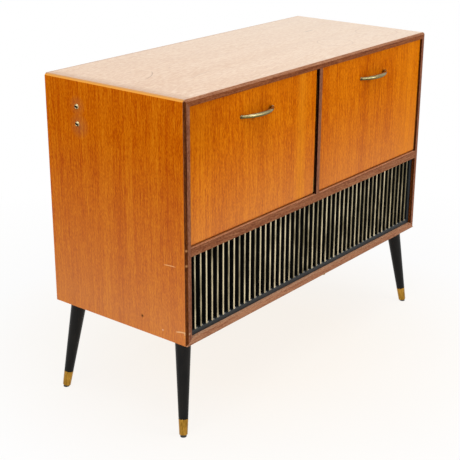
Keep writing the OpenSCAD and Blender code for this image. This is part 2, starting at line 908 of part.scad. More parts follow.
// Shell with a deep rim, a hub and the spindle that turns in the plate's bearing
module platter() {
    top = platter_up + platter_h;
    under = top - platter_wall;
    tip = mat_top + 12;
    color("#c9c6bd") on_deck(platter_at) rotate_extrude() polygon([
        [0, -25], [spindle_r, -25], [spindle_r, 3], [14, 3], [17, under - 4], [20, under],
        [rim_r - 4, under], [rim_r, under - 4], [rim_r, platter_up], [platter_r - 1, platter_up],
        [platter_r, platter_up + 1], [platter_r, top - 2], [platter_r - 2, top], [spindle_r, top],
        [spindle_r, tip - 4], [spindle_r * 0.7, tip - 1], [0, tip]
    ]);
}

// Rubber disc with raised rings
module platter_mat() {
    low = platter_up + platter_h;
    color("#262524") on_deck(platter_at) difference() {
        union() {
            translate([0, 0, low]) cylinder(r = platter_r - 3, h = mat_h - 1);
            translate([0, 0, low]) rotate_extrude() for (r = [34:14:118]) translate([r, 0]) square([8, mat_h]);
            translate([0, 0, low]) rotate_extrude() translate([platter_r - 9, 0]) square([6, mat_h]);
        }
        translate([0, 0, low - 1]) cylinder(r = spindle_r + 0.2, h = 6);
    }
}

gimbal_r = 4;
column_h = arm_z - 18;

// Column that carries the gimbal, and the post that the arm lies on
module arm_stand() {
    ledge = arm_z - arm_r - 0.3;
    color("#3c3c3c") {
        on_deck(arm_at) difference() {
            rotate_extrude() polygon([
                [0, 0], [20, 0], [20, 4], [17, 6], [12, 8], [11, column_h - 2], [10, column_h], [0, column_h]
            ]);
            translate([0, 0, column_h - 18]) cylinder(r = gimbal_r + run_gap, h = 20);
        }
        on_deck(arm_at - [0, rest_back]) {
            cylinder(r = 8, h = 3);
            cylinder(r = 4, h = ledge - 2);
            block([-8, -4, ledge - 3], [8, 4, ledge]);
            block([arm_r + 1, -4, ledge], [8, 4, ledge + 9]);
        }
    }
}

// Yoke on a vertical shaft, with the cross pins that the arm rocks on
module arm_gimbal() {
    cheek_x = 8;
    color("#a9a9a6") on_deck(arm_at) {
        translate([0, 0, column_h - 16]) cylinder(r = gimbal_r, h = 17);
        translate([0, 0, column_h + 0.4]) cylinder(r = 11, h = 3);
        for (side = [-1, 1]) {
            block([side * cheek_x - 1.5, -6, column_h + 3], [side * cheek_x + 1.5, 6, arm_z]);
            translate([side * cheek_x, 0, arm_z]) x_bar(-1.5, 1.5, 6);
        }
        translate([0, 0, arm_z]) x_bar(-cheek_x, cheek_x, 1.5);
    }
}

// Tube with its counterweight behind and a cranked headshell, cartridge and stylus in front
module tonearm() {
    shell_turn = -22;
    stylus_z = mat_top + 2.3 - arm_z;
    neck = arm_l - 26;
    color("#d9d3c0") on_deck(arm_at) translate([0, 0, arm_z]) difference() {
        union() {
            y_bar(-neck, 30, arm_r);
            block([-5.5, -9, -5.5], [5.5, 9, 5.5]);
            y_bar(26, 50, 12);
            translate([0, -neck, 0]) rotate([0, 0, shell_turn]) {
                translate([0, 0, -4]) round_plate([-9, -42], [9, 6], 4, 6);
                block([-7, -36, -12], [7, -14, -3.5]);
                translate([0, -27, stylus_z]) cylinder(r1 = 0.5, r2 = 2.5, h = 5);
            }
        }
        x_bar(-7, 7, 1.5 + run_gap);
    }
}

module speed_knob() {
    color("#e7e0cb") on_deck(knob_at) {
        translate([0, 0, -2]) cylinder(r = shaft_r, h = 4);
        translate([0, 0, 0.4]) cylinder(r1 = 16, r2 = 14.5, h = 9);
        block([-2.5, -13, 9], [2.5, 13, 15]);
    }
}

// Radio

// Moulded front with a dial window, key slots, shaft holes and a return beside the door stay
module radio_panel() {
    rebate = 3;
    color("#e3dcc8") difference() {
        union() {
            block([panel_x[0], panel_y, deck_z], [panel_x[1], panel_y + panel_t, ceiling_z]);
            block([panel_x[1] - 4, panel_y + panel_t - 1, deck_z], [panel_x[1], panel_y + 150, ceiling_z]);
        }
        block([window_x[0], panel_y - 1, window_z[0]], [window_x[1], panel_y + panel_t + 1, window_z[1]]);
        block(
            [window_x[0] - rebate, panel_y - 1, window_z[0] - rebate],
            [window_x[1] + rebate, panel_y + glass_t - 1, window_z[1] + rebate]
        );
        for (i = [1:key_count]) at_key(i) block([-key_w / 2 - 0.6, -1, -0.6], [key_w / 2 + 0.6, 9, key_h + 0.6]);
        for (x = [volume_x, tone_x, tuning_x]) translate([x, 0, knob_z]) y_bar(panel_y - 1, panel_y + 8, shaft_r + 1);
    }
}

module dial_glass() {
    rebate = 2.6;
    color("#9fb0a8", 0.4) block(
        [window_x[0] - rebate, panel_y - 1, window_z[0] - rebate],
        [window_x[1] + rebate, panel_y + glass_t - 1, window_z[1] + rebate]
    );
}

// Plate behind the glass that carries the printed scale, bent back along its lower edge
module dial_scale() {
    x = [window_x[0] - 6, window_x[1] + 6];
    color("#1f2a2c") {
        block([x[0], scale_y, window_z[0] - 8], [x[1], scale_y + 1.5, window_z[1] + 10]);
        for (end = [x[0], x[1] - 8]) {
            block([end, panel_y + panel_t, window_z[0] - 8], [end + 8, scale_y, window_z[0] - 4]);
        }
    }
}

// Needle on a carriage that straddles the top edge of the scale plate
module dial_pointer() {
    top = window_z[1] + 10;
    middle = (window_x[0] + window_x[1]) / 2;
    color("#c8452c") translate([middle, 0, 0]) {
        block([-0.75, scale_y - 3.5, window_z[0] + 4], [0.75, scale_y - 2, top + 1]);
        difference() {
            block([-9, scale_y - 3.5, top - 5], [9, scale_y + 5, top + 3]);
            block([-10, scale_y - 0.6, top - 6], [10, scale_y + 2.1, top + 0.6]);
        }
    }
}

// Knob with a fluted grip, a cap and a shaft that runs back into the chassis
module knob(x, d) {
    flutes = 24;
    grip = [panel_y - 20, panel_y - 4];
    color("#e7e0cb") translate([x, 0, knob_z]) {
        difference() {
            y_bar(grip[0], grip[1], d / 2);
            for (k = [0:flutes - 1]) rotate([0, 360 * k / flutes, 0]) translate([d / 2 + 0.5, 0, 0])
                y_bar(grip[0] - 1, grip[1] - 4, 1.6, $fn = 16);
        }
        y_bar(grip[1], panel_y - 1, d / 2 + 1.5);
        y_bar(grip[0] - 2, grip[0], d / 2 - 6);
        y_bar(panel_y - 1, chassis_y[0] + 14, shaft_r);
    }
}

module volume_knob() {
    knob(volume_x, knob_d);
}

module tone_knob() {
    knob(tone_x, tone_knob_d);
}

module tuning_knob() {
    knob(tuning_x, knob_d);
}

// Children drawn about the lower middle of a key's front opening
module at_key(i) {
    translate([tone_x + (i - (key_count + 1) / 2) * key_pitch, panel_y, key_z]) children();
}

// Push key with a slanted front and a stem behind the panel
module key(i) {
    front = -15;
    color("#efe9d8") at_key(i) {
        from_side(-key_w / 2, key_w / 2) polygon([
            [front, 2], [front + 1, 0], [12, 0], [12, key_h], [front + 5, key_h], [front + 1.5, key_h - 3]
        ]);
        block([-5, 12, 4], [5, 26, 10]);
    }
}

module key_1() {
    key(1);
}

module key_2() {
    key(2);
}

module key_3() {
    key(3);
}

module key_4() {
    key(4);
}

module key_5() {
    key(5);
}

valve_spots = [for (i = [0:5]) [mix(chassis_x[0] + 170, chassis_x[1] - 30, i / 5), chassis_y[0] + (i % 2 == 0 ? 70 : 130)]];

// Folded tray, open below, with a bearing for each shaft, valve sockets and two transformers
module radio_chassis() {
    tf = [[chassis_x[0] + 12, chassis_y[1] - 85, 78, 66], [chassis_x[0] + 100, chassis_y[1] - 62, 46, 42]];
    z = chassis_z[1];
    lo = [chassis_x[0], chassis_y[0], chassis_z[0]];
    hi = [chassis_x[1], chassis_y[1], z];
    wall = chassis_t * [1, 1, 1];
    color("#9da2a3") {
        difference() {
            union() {
                difference() {
                    block(lo, hi);
                    block(lo + [wall[0], wall[1], -1], hi - wall);
                }
                for (x = [volume_x, tone_x, tuning_x]) translate([x, 0, knob_z]) y_bar(lo[1] + 1, lo[1] + 20, 11);
                for (at = valve_spots) translate([at[0], at[1], z - 9]) cylinder(r = 12, h = 8);
            }
            for (x = [volume_x, tone_x, tuning_x]) translate([x, 0, knob_z])
                y_bar(lo[1] - 1, lo[1] + 16, shaft_r + run_gap);
            for (at = valve_spots) translate([at[0], at[1], z - 6]) cylinder(r = 9.6, h = 7);
        }
        for (t = tf) {
            block([t[0], t[1], z + glue], [t[0] + t[2], t[1] + t[3] * 0.7, z + t[3]]);
            block([t[0] + 12, t[1] - 9, z + 8], [t[0] + t[2] - 12, t[1] + t[3] * 0.7 + 9, z + t[3] - 8]);
        }
    }
}

module valves() {
    z = chassis_z[1] - 6;
    color("#c9d6d8", 0.5) for (at = valve_spots) translate([at[0], at[1], z]) rotate_extrude() polygon([
        [0, 0], [9.4, 0], [9.4, 7], [10.5, 10], [10.5, 46], [9, 51], [5, 54], [2, 55], [1.6, 60], [0, 61]
    ]);
}

top_board();
bottom_board();
left_side_board();
right_side_board();
shelf_board();
partition();
back_board();
front_lipping();
case_screws();
case_hardware();
leg_blocks();
leg_bolts();
front_left_leg();
front_right_leg();
back_left_leg();
back_right_leg();
ferrules();
glides();
grille_frame();
grille_slats();
slat_strips();
speaker_baffle();
speaker_frames();
speaker_cones();
lead_grommet();
left_door();
left_handle();
left_door_fittings();
left_stay_rod();
left_stay_eye();
right_door();
right_handle();
right_door_fittings();
right_stay_rod();
right_stay_eye();
deck_plinth();
deck_plate();
deck_motor();
motor_pulley();
idler_wheel();
platter();
platter_mat();
arm_stand();
arm_gimbal();
tonearm();
speed_knob();
radio_panel();
dial_glass();
dial_scale();
dial_pointer();
volume_knob();
tone_knob();
tuning_knob();
key_1();
key_2();
key_3();
key_4();
key_5();
radio_chassis();
valves();
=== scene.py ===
# %% [markdown]
# # A teak radiogram on splayed legs
# The solids of this radiogram come packed as a fixed frame: each board, knob and screw is a node, and
# the nodes ride on bodies that turn or slide on joints. This file dresses them. Everything is in
# metres, in the frame's own axes: the front with its two doors faces -Y, and +Z is up.

# %% Load the frame
import math

import bmesh
import bpy
from mathutils import Matrix, Vector


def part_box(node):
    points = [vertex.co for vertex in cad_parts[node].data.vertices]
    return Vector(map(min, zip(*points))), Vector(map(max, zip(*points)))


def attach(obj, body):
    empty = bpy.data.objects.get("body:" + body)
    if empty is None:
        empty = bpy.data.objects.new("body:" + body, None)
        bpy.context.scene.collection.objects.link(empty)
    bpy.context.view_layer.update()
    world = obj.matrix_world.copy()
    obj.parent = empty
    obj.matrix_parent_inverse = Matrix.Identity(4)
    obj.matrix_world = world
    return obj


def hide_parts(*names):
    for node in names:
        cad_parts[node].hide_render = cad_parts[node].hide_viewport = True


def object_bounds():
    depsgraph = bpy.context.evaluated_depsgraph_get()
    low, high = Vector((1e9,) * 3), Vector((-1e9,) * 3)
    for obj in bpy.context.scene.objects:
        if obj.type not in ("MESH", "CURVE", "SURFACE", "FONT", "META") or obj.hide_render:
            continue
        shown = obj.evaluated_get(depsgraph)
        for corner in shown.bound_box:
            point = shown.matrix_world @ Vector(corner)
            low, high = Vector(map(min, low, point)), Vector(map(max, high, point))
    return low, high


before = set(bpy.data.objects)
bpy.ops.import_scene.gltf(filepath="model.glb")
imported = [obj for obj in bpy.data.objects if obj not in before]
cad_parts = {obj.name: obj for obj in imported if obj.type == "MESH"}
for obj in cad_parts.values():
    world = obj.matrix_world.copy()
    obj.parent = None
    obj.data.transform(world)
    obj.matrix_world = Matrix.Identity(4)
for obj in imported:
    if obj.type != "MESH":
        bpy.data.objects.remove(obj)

MM = 0.001
cad_low, cad_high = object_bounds()
print("box in metres:", [round(x, 4) for x in cad_high - cad_low])

# %% [markdown]
# Colours are written as they look on a screen, in sRGB, but shaders count light, which is linear, so
# one function turns the first into the second, by the curve of the sRGB standard. A second function
# adds any node to any tree, of a material or of geometry. It takes the inputs as a dictionary, where a
# value may be a number, a colour or another node's output, and the stops of a colour ramp as a list.

# %% Colours and nodes
def linear(code):
    parts = [int(code[i:i + 2], 16) / 255 for i in (1, 3, 5)]
    return [c / 12.92 if c <= 0.04045 else ((c + 0.055) / 1.055) ** 2.4 for c in parts] + [1.0]


def add(tree, kind, inputs=None, stops=None, **settings):
    node = tree.nodes.new(kind)
    for name, value in settings.items():
        setattr(node, name, value)
    if stops:
        ramp = node.color_ramp
        ramp.elements.remove(ramp.elements[1])
        ramp.elements[0].position, ramp.elements[0].color = stops[0]
        for place, colour in stops[1:]:
            ramp.elements.new(place).color = colour
    for key, value in (inputs or {}).items():
        if isinstance(value, bpy.types.NodeSocket):
            tree.links.new(value, node.inputs[key])
        else:
            node.inputs[key].default_value = value
    return node


def material(name, **surface):
    """A principled surface and its output. Each keyword is an input, such as Specular_IOR_Level=0.1."""
    made = bpy.data.materials.new(name)
    made.use_nodes = True
    made.node_tree.nodes.clear()
    values = {key.replace("_", " "): value for key, value in surface.items()}
    body = add(made.node_tree, "ShaderNodeBsdfPrincipled", values)
    add(made.node_tree, "ShaderNodeOutputMaterial", {"Surface": body.outputs[0]})
    return made, made.node_tree, body


print("teak orange in linear light:", [round(c, 3) for c in linear("#c4690f")[:3]])

# %% [markdown]
# The camera stands to the front left, a little above the top of the case, with a moderately long
# lens. Its place was found by a least-squares fit to the outline of the case and a dozen edges inside
# it, so that straight edges fall within half a pixel of where the picture has them.

# %% Camera
scene = bpy.context.scene
scene.view_settings.view_transform = "Standard"
camera = bpy.data.objects.new("camera", bpy.data.cameras.new("camera"))
scene.collection.objects.link(camera)
camera.location = (-2.1863, -1.6611, 1.3432)
camera.rotation_euler = [math.radians(angle) for angle in (69.604, -0.156, -51.445)]
camera.data.lens = 87.03
camera.data.clip_end = 60
scene.camera = camera
print("camera height in metres:", round(camera.location.z, 2))

# %% [markdown]
# The studio is white paper with soft light from everywhere. The camera, reflections and glass see the
# paper at full white, while the light that it throws on the cabinet is dimmer, so that colours render
# as they are written. One function tells the two kinds of ray apart, for the world and the floor.

# %% Paper all round
AMBIENT = 0.42


def seen(tree):
    """1 where the camera looks, straight, in a reflection or through glass, and 0 for light on its way."""
    path = add(tree, "ShaderNodeLightPath").outputs
    either = add(tree, "ShaderNodeMath", {0: path["Is Camera Ray"], 1: path["Is Glossy Ray"]},
                 operation="MAXIMUM").outputs[0]
    return add(tree, "ShaderNodeMath", {0: either, 1: path["Is Transmission Ray"]},
               operation="MAXIMUM").outputs[0]


world = bpy.data.worlds.new("paper studio")
scene.world = world
world.use_nodes = True
world.node_tree.nodes.clear()
air = world.node_tree
around = add(air, "ShaderNodeBackground", {"Color": linear("#fbfbff"), "Strength": AMBIENT})
backdrop = add(air, "ShaderNodeBackground", {"Color": (1, 1, 1, 1), "Strength": 1.0})
mixed = add(air, "ShaderNodeMixShader", {0: seen(air), 1: around.outputs[0], 2: backdrop.outputs[0]})
add(air, "ShaderNodeOutputWorld", {"Surface": mixed.outputs[0]})
print("light from all round:", AMBIENT)

# %% [markdown]
# Three large soft boxes give the shapes their shading. Each is set by the brightness that a white card
# shows when it faces the lamp. At a distance d, a lamp of P watts gives the card P / (pi d)², so the
# power follows from the brightness and the distance.

# %% Soft boxes
AIM = Vector((0, 0, 0.5))
for name, stand, size, level in (
    ("overhead box", (-0.2, -0.5, 3.2), 2.6, 0.50),
    ("front box", (0.9, -3.3, 1.7), 2.4, 0.38),
    ("left box", (-3.4, -0.6, 1.8), 2.2, 0.34),
):
    lamp = bpy.data.lights.new(name, "AREA")
    lamp.size = size
    outwards = Vector(stand) - AIM
    lamp.energy = level * math.pi ** 2 * outwards.length_squared
    holder = bpy.data.objects.new(name, lamp)
    scene.collection.objects.link(holder)
    holder.location = stand
    holder.rotation_euler = outwards.to_track_quat("Z", "Y").to_euler()
    print(name, round(lamp.energy), "W")

# %% [markdown]
# The floor is a sheet of the same paper. It grows whiter with distance, as paper does where it leaves
# the cabinet's shade, so it mixes a shaded surface with a glow by the distance from the middle.

# %% Paper floor
FLOOR_HALF = 25
WARM_WITHIN, WHITE_BEYOND = 0.25, 0.80
SHADED_WITHIN, GLOWING_BEYOND, GLOW_AT_CABINET = 0.4, 1.5, 0.88

paper, tree, body = material("seamless paper", Roughness=0.9, Specular_IOR_Level=0.1)
place = add(tree, "ShaderNodeTexCoord").outputs["Object"]
mottle = add(tree, "ShaderNodeTexNoise", {"Vector": place, "Scale": 1.3, "Detail": 3.0})
fibre = add(tree, "ShaderNodeValToRGB", {"Fac": mottle.outputs["Fac"]},
            stops=[(0.3, linear("#f1ece5")), (0.7, linear("#faf7f3"))])
tree.links.new(fibre.outputs["Color"], body.inputs["Base Color"])
distance = add(tree, "ShaderNodeVectorMath", {0: place}, operation="LENGTH").outputs["Value"]
# Near the middle the glow is tinted warm: a painted warm shade under the cabinet
warm = add(tree, "ShaderNodeValToRGB", {"Fac": distance},
           stops=[(WARM_WITHIN, linear("#fffaf3")), (WHITE_BEYOND, linear("#ffffff"))])
glow = add(tree, "ShaderNodeEmission", {"Color": warm.outputs["Color"], "Strength": 1.0})
bare = add(tree, "ShaderNodeMapRange", {
    0: distance, 1: SHADED_WITHIN, 2: GLOWING_BEYOND, 3: GLOW_AT_CABINET, 4: 1.0}).outputs[0]
share = add(tree, "ShaderNodeMath", {0: seen(tree), 1: bare}, operation="MULTIPLY")
both = add(tree, "ShaderNodeMixShader", {0: share.outputs[0], 1: body.outputs[0], 2: glow.outputs[0]})
add(tree, "ShaderNodeOutputMaterial", {"Surface": both.outputs[0]}).is_active_output = True

floor_mesh = bpy.data.meshes.new("floor")
floor_corners = [(x * FLOOR_HALF, y * FLOOR_HALF, 0) for x, y in ((-1, -1), (1, -1), (1, 1), (-1, 1))]
floor_mesh.from_pydata(floor_corners, [], [(0, 1, 2, 3)])
floor_mesh.materials.append(paper)
floor = bpy.data.objects.new("floor", floor_mesh)
scene.collection.objects.link(floor)
print("floor is", floor.dimensions.x, "m wide")

# %% [markdown]
# ## Teak
# Years of use leave cup rings, scratches, worn bands and stains on the veneer. They could come from a
# painted picture, but one rule draws them all without it: a mark is a thin ring round a centre, kept
# only within reach of a point. A scratch is a short piece of a ring, a straight band is a piece of a
# ring too wide to show its curve, and a spot is a ring without a radius.

# %% Marks on wood
STRAIGHT = 100.0


def mark(tree, place, centre, radius, width, near, reach):
    """How much of a mark covers each place, from 0 to 1."""
    far = add(tree, "ShaderNodeVectorMath", {0: place, 1: centre}, operation="DISTANCE").outputs["Value"]
    off = add(tree, "ShaderNodeMath", {0: far, 1: radius}, operation="SUBTRACT").outputs[0]
    off = add(tree, "ShaderNodeMath", {0: off}, operation="ABSOLUTE").outputs[0]
    line = add(tree, "ShaderNodeMapRange", {0: off, 1: 0.0, 2: width, 3: 1.0, 4: 0.0}).outputs[0]
    away = add(tree, "ShaderNodeVectorMath", {0: place, 1: near}, operation="DISTANCE").outputs["Value"]
    ends = add(tree, "ShaderNodeMapRange", {0: away, 1: reach * 0.6, 2: reach, 3: 1.0, 4: 0.0}).outputs[0]
    return add(tree, "ShaderNodeMath", {0: line, 1: ends}, operation="MULTIPLY").outputs[0]


def cup_ring(shade, strength, centre, radius, width, near=None, reach=0.2):
    """A cup ring, or with near and reach only a piece of it."""
    return shade, strength, centre, radius, width, near or centre, reach


def band(shade, strength, through, towards, width, reach):
    """A straight band through a point. The centre of its wide ring lies towards that side."""
    centre = [at + STRAIGHT * way for at, way in zip(through, towards)]
    return shade, strength, centre, STRAIGHT, width, through, reach


def scratch(shade, strength, start, end, width, normal, bend=0.3):
    """A thin mark from start to end along a shallow arc, on a face with this normal."""
    start, end = Vector(start), Vector(end)
    middle = (start + end) / 2
    centre = middle + (end - start).normalized().cross(Vector(normal)) * bend
    return shade, strength, centre, abs(bend), width, middle, (end - start).length * 0.62


def spot(shade, strength, centre, radius):
    return shade, strength, centre, 0.0, radius, centre, radius * 2


trial = scratch("#000000", 1.0, (0, 0, 0), (0.02, 0, 0), 0.001, (0, 0, 1))
print("centre of a scratch 20 mm long:", [round(x, 3) for x in trial[2]])

# %% [markdown]
# Veneer is a thin slice of wood glued to a board. Along the grain its figure runs on for a metre;
# across it, it changes every few millimetres. So every layer here is one noise pattern squeezed
# across the grain: broad bands from the growth rings, narrow stripes, short flecks and dark pores.
# The whole pattern is first swayed a little by a slow noise, because a trunk is never quite straight.
# Real pores are 0.2 mm wide; they are drawn 1.5 mm wide here, so that they still show in a small picture. Near
# the floor the wood is painted paler, as painted light thrown up by the floor, and the slanted edge under the
# corner of the top is painted paler as well: partly wood cut through to paler wood, partly a painted
# highlight.

# %% Teak veneer
# Width across the grain and length along it, in mm, then the detail and the weight of each layer
LONG_GRAIN = ((40, 2500, 2, 0.15), (5, 700, 2, 0.20), (1.7, 45, 2, 0.32), (1.7, 6.5, 1, 0.33))
SHORT_GRAIN = ((60, 900, 2, 0.16), (9, 160, 2, 0.18), (2.6, 15, 3, 0.62), (2, 5, 1, 0.0))
PORES = ((1.5, 10, 1, 0),)
SWAY = (0.03, 0.03, 0.03)
# Layers added together stay near one half, so three tones lie close together on the ramp
DEEP_AT, MIDDLE_AT, PALE_AT = 0.41, 0.50, 0.59
PORE_FROM, PORE_TO = 0.58, 0.74
# The painted light from the floor gives way quickly at first and then slowly
FADE = 0.6
# |x| + z of a normal is 1 on a flat side or top and 1.41 on the slant between them
SLANT_OVER = 1.3
SMOOTHER, ROUGHER = 0.05, 0.07


def veneer(name, grain, deep, middle, pale, seed=0.0, pore=0.45, edge=None, low=None, marks=(),
           figure=LONG_GRAIN, **surface):
    """Wood whose grain runs along axis number grain: 0 for X, 2 for Z."""
    made, tree, body = material(name, **surface)
    place = add(tree, "ShaderNodeTexCoord").outputs["Object"]
    slow = add(tree, "ShaderNodeTexNoise", {"Vector": place, "Scale": 2.2, "Detail": 2.0})
    swayed = add(tree, "ShaderNodeVectorMath", {0: slow.outputs["Color"], 1: SWAY, 2: place},
                 operation="MULTIPLY_ADD").outputs[0]
    layers, tone = [], 0.0
    for width, length, detail, weight in figure + PORES:
        scale = [1 / (width * MM)] * 3
        scale[grain] = 1 / (length * MM)
        where = add(tree, "ShaderNodeMapping", {
            "Vector": swayed, "Location": [seed + width] * 3, "Scale": scale})
        noise = add(tree, "ShaderNodeTexNoise", {"Vector": where.outputs[0], "Scale": 1.0, "Detail": detail})
        layers.append(noise.outputs["Fac"])
        if weight:
            tone = add(tree, "ShaderNodeMath", {0: layers[-1], 1: weight, 2: tone},
                       operation="MULTIPLY_ADD").outputs[0]
    stripes, flecks, pores = layers[1], layers[2], layers[-1]
    colour = add(tree, "ShaderNodeValToRGB", {"Fac": tone}, stops=[
        (DEEP_AT, linear(deep)), (MIDDLE_AT, linear(middle)), (PALE_AT, linear(pale))]).outputs["Color"]

    # What is laid over the grain, from the pores up: how much of it shows, and its shade
    dots = add(tree, "ShaderNodeMapRange", {0: pores, 1: PORE_FROM, 2: PORE_TO, 3: 0.0, 4: pore})
    covers = [(dots, deep)]
    # low paints the light thrown up by the floor: paler towards the bottom
    if low:
        shade, share, from_z, to_z = low
        height = add(tree, "ShaderNodeSeparateXYZ", {0: place}).outputs[2]
        fade = add(tree, "ShaderNodeMapRange", {0: height, 1: from_z, 2: to_z, 3: share ** FADE, 4: 0.0})
        fade = add(tree, "ShaderNodeMath", {0: fade.outputs[0], 1: 1 / FADE}, operation="POWER")
        covers.append((fade, shade))
    # edge paints the slant between side and top paler: partly paler wood, partly a painted highlight
    if edge:
        normal = add(tree, "ShaderNodeNewGeometry").outputs["Normal"]
        axes = add(tree, "ShaderNodeSeparateXYZ", {0: normal}).outputs
        side = add(tree, "ShaderNodeMath", {0: axes[0]}, operation="ABSOLUTE").outputs[0]
        both = add(tree, "ShaderNodeMath", {0: side, 1: axes[2]}, operation="ADD").outputs[0]
        slant = add(tree, "ShaderNodeMath", {0: both, 1: SLANT_OVER}, operation="GREATER_THAN")
        covers.append((slant, edge))
    for shade, strength, *where in marks:
        line = mark(tree, place, *where)
        line = add(tree, "ShaderNodeMath", {0: line, 1: strength}, operation="MULTIPLY")
        covers.append((line, shade))
    for cover, shade in covers:
        laid = add(tree, "ShaderNodeMix", {0: cover.outputs[0], 6: colour, 7: linear(shade)}, data_type="RGBA")
        colour = laid.outputs[2]
    tree.links.new(colour, body.inputs["Base Color"])

    rough = surface["Roughness"]
    sheen = add(tree, "ShaderNodeMapRange", {
        0: stripes, 1: 0.3, 2: 0.7, 3: rough - SMOOTHER, 4: rough + ROUGHER})
    tree.links.new(sheen.outputs[0], body.inputs["Roughness"])
    height = add(tree, "ShaderNodeMath", {0: pores, 1: -0.6, 2: flecks}, operation="MULTIPLY_ADD").outputs[0]
    bump = add(tree, "ShaderNodeBump", {"Height": height, "Strength": 0.35, "Distance": 0.12 * MM})
    tree.links.new(bump.outputs[0], body.inputs["Normal"])
    return made


print("layers of grain:", len(LONG_GRAIN), "and pores", PORES[0][0], "mm wide")

# %% [markdown]
# The marks of this cabinet, each at its own place on the top, the left side or the door fronts. Some are large
# and soft: the varnish is darker along two edges of the top, a painted glare makes it palest near the right
# end, and on each door the growth rings show as a golden band. A painted shadow darkens each door beside the
# right foot of its handle and under the bar.

# %% Marks on the top, the side and the doors
TOP, SIDE, FRONT = cad_high.z, -0.5, -0.195
UP, RIGHT = (0, 0, 1), (1, 0, 0)
TO_LEFT, TO_BACK = (-1, 0, 0), (0, 1, 0)

top_marks = [
    cup_ring("#a06a48", 0.40, (0.223, -0.090, TOP), 0.046, 0.0025),
    cup_ring("#a06a48", 0.35, (0.420, -0.093, TOP), 0.056, 0.0025),
    scratch("#8a5836", 0.65, (-0.403, -0.010, TOP), (-0.334, 0.033, TOP), 0.0018, UP, -0.12),
    scratch("#8a5836", 0.40, (-0.340, -0.075, TOP), (-0.240, -0.055, TOP), 0.0016, UP),
    cup_ring("#6a3a20", 0.75, (0.310, 0.400, TOP), 0.345, 0.0030, (0.313, 0.056, TOP), 0.022),
    spot("#8a5836", 0.55, (-0.373, 0.072, TOP), 0.004),
    spot("#8a5836", 0.50, (-0.281, 0.035, TOP), 0.005),
    # Darker varnish along the left and the back edge
    band("#a9774f", 0.55, (-0.5, 0.0, TOP), TO_LEFT, 0.040, 0.6),
    band("#a06c44", 0.60, (0.0, 0.22, TOP), TO_BACK, 0.011, 2.0),
    # and a painted glare, strongest towards the right end
    spot("#fff1de", 0.38, (0.5, 0.1, TOP), 1.0),
]
side_marks = [
    # Wood worn dull round the two screws
    spot("#94603c", 0.42, (SIDE, 0.118, 0.736), 0.026),
    spot("#94603c", 0.48, (SIDE, 0.114, 0.690), 0.032),
    # A nail hole, a chip and three light scratches near the front edge
    spot("#140a04", 1.00, (SIDE, -0.0648, 0.2737), 0.0052),
    spot("#ffe9c8", 0.90, (SIDE, -0.1271, 0.2563), 0.0024),
    scratch("#f0bd80", 0.95, (SIDE, -0.136, 0.4180), (SIDE, -0.166, 0.4200), 0.0015, RIGHT, -0.2),
    scratch("#f2cc98", 0.90, (SIDE, -0.168, 0.2645), (SIDE, -0.197, 0.2690), 0.0020, RIGHT, -0.1),
    spot("#f2cc98", 0.80, (SIDE, -0.193, 0.2640), 0.0030),
]
door_marks = [
    # The golden bands
    band("#e8951a", 0.36, (-0.07, FRONT, 0.6), TO_LEFT, 0.026, 0.5),
    band("#ec8f14", 0.34, (0.44, FRONT, 0.6), TO_LEFT, 0.090, 0.5),
    # Patches round the handles, darkened by hands and by a painted shadow of each handle, and a darker patch
    # in the top left corner
    spot("#7c3208", 0.20, (-0.247, FRONT, 0.712), 0.070),
    spot("#7c3208", 0.12, (-0.225, FRONT, 0.640), 0.055),
    spot("#7c3208", 0.20, (0.245, FRONT, 0.715), 0.055),
    spot("#8a3c00", 0.30, (-0.46, FRONT, 0.745), 0.14),
    # A painted shadow in the gap at the handles' right feet, and a lighter one under the middle of each bar
    spot("#120500", 1.0, (-0.197, FRONT, 0.722), 0.010),
    spot("#120500", 1.0, (0.294, FRONT, 0.722), 0.010),
    spot("#4a1c02", 0.55, (-0.262, FRONT, 0.714), 0.012),
    spot("#4a1c02", 0.50, (0.226, FRONT, 0.714), 0.012),
]
print("marks on top, side and doors:", len(top_marks), len(side_marks), len(door_marks))

# %% [markdown]
# The same veneer recipe gives every wood here its tones and its grain. The oil in the outer veneer has
# darkened to orange, and the top has been bleached by light; its tones are paler still as a painted glare. The
# solid lipping round the front is a darker teak. It is split into several finishes, because its lengths differ
# in colour, because some of its faces carry a painted shade or a painted highlight, and because its grain
# turns with it at the corners.

# %% Wood finishes
looks = {}
# The top's pale tones: partly wood bleached by light, partly a painted glare
looks["teak_top"] = veneer(
    "oiled teak veneer, worn pale", 0, "#dab494", "#e6c7aa", "#eed4bb", seed=3.0, pore=0.2, edge="#f2aa45",
    marks=top_marks, figure=SHORT_GRAIN, Roughness=0.42, Specular_IOR_Level=0.5)
looks["teak_side"] = veneer(
    "oiled teak veneer", 2, "#a74300", "#c16000", "#d1780d", seed=11.0, pore=0.5, edge="#e9a042",
    low=("#e2a16c", 0.34, 0.27, 0.70), marks=side_marks, Roughness=0.5, Specular_IOR_Level=0.01)
looks["teak_door"] = veneer(
    "oiled teak veneer, door", 2, "#a84800", "#c76700", "#d97e0b", seed=23.0, pore=0.45,
    low=("#e0a068", 0.28, 0.46, 0.70), marks=door_marks, Roughness=0.48, Specular_IOR_Level=0.01)
looks["teak_inside"] = veneer(
    "plain teak veneer", 0, "#94501c", "#ad6a2e", "#bd7c3e", seed=31.0, Roughness=0.55,
    Specular_IOR_Level=0.25)

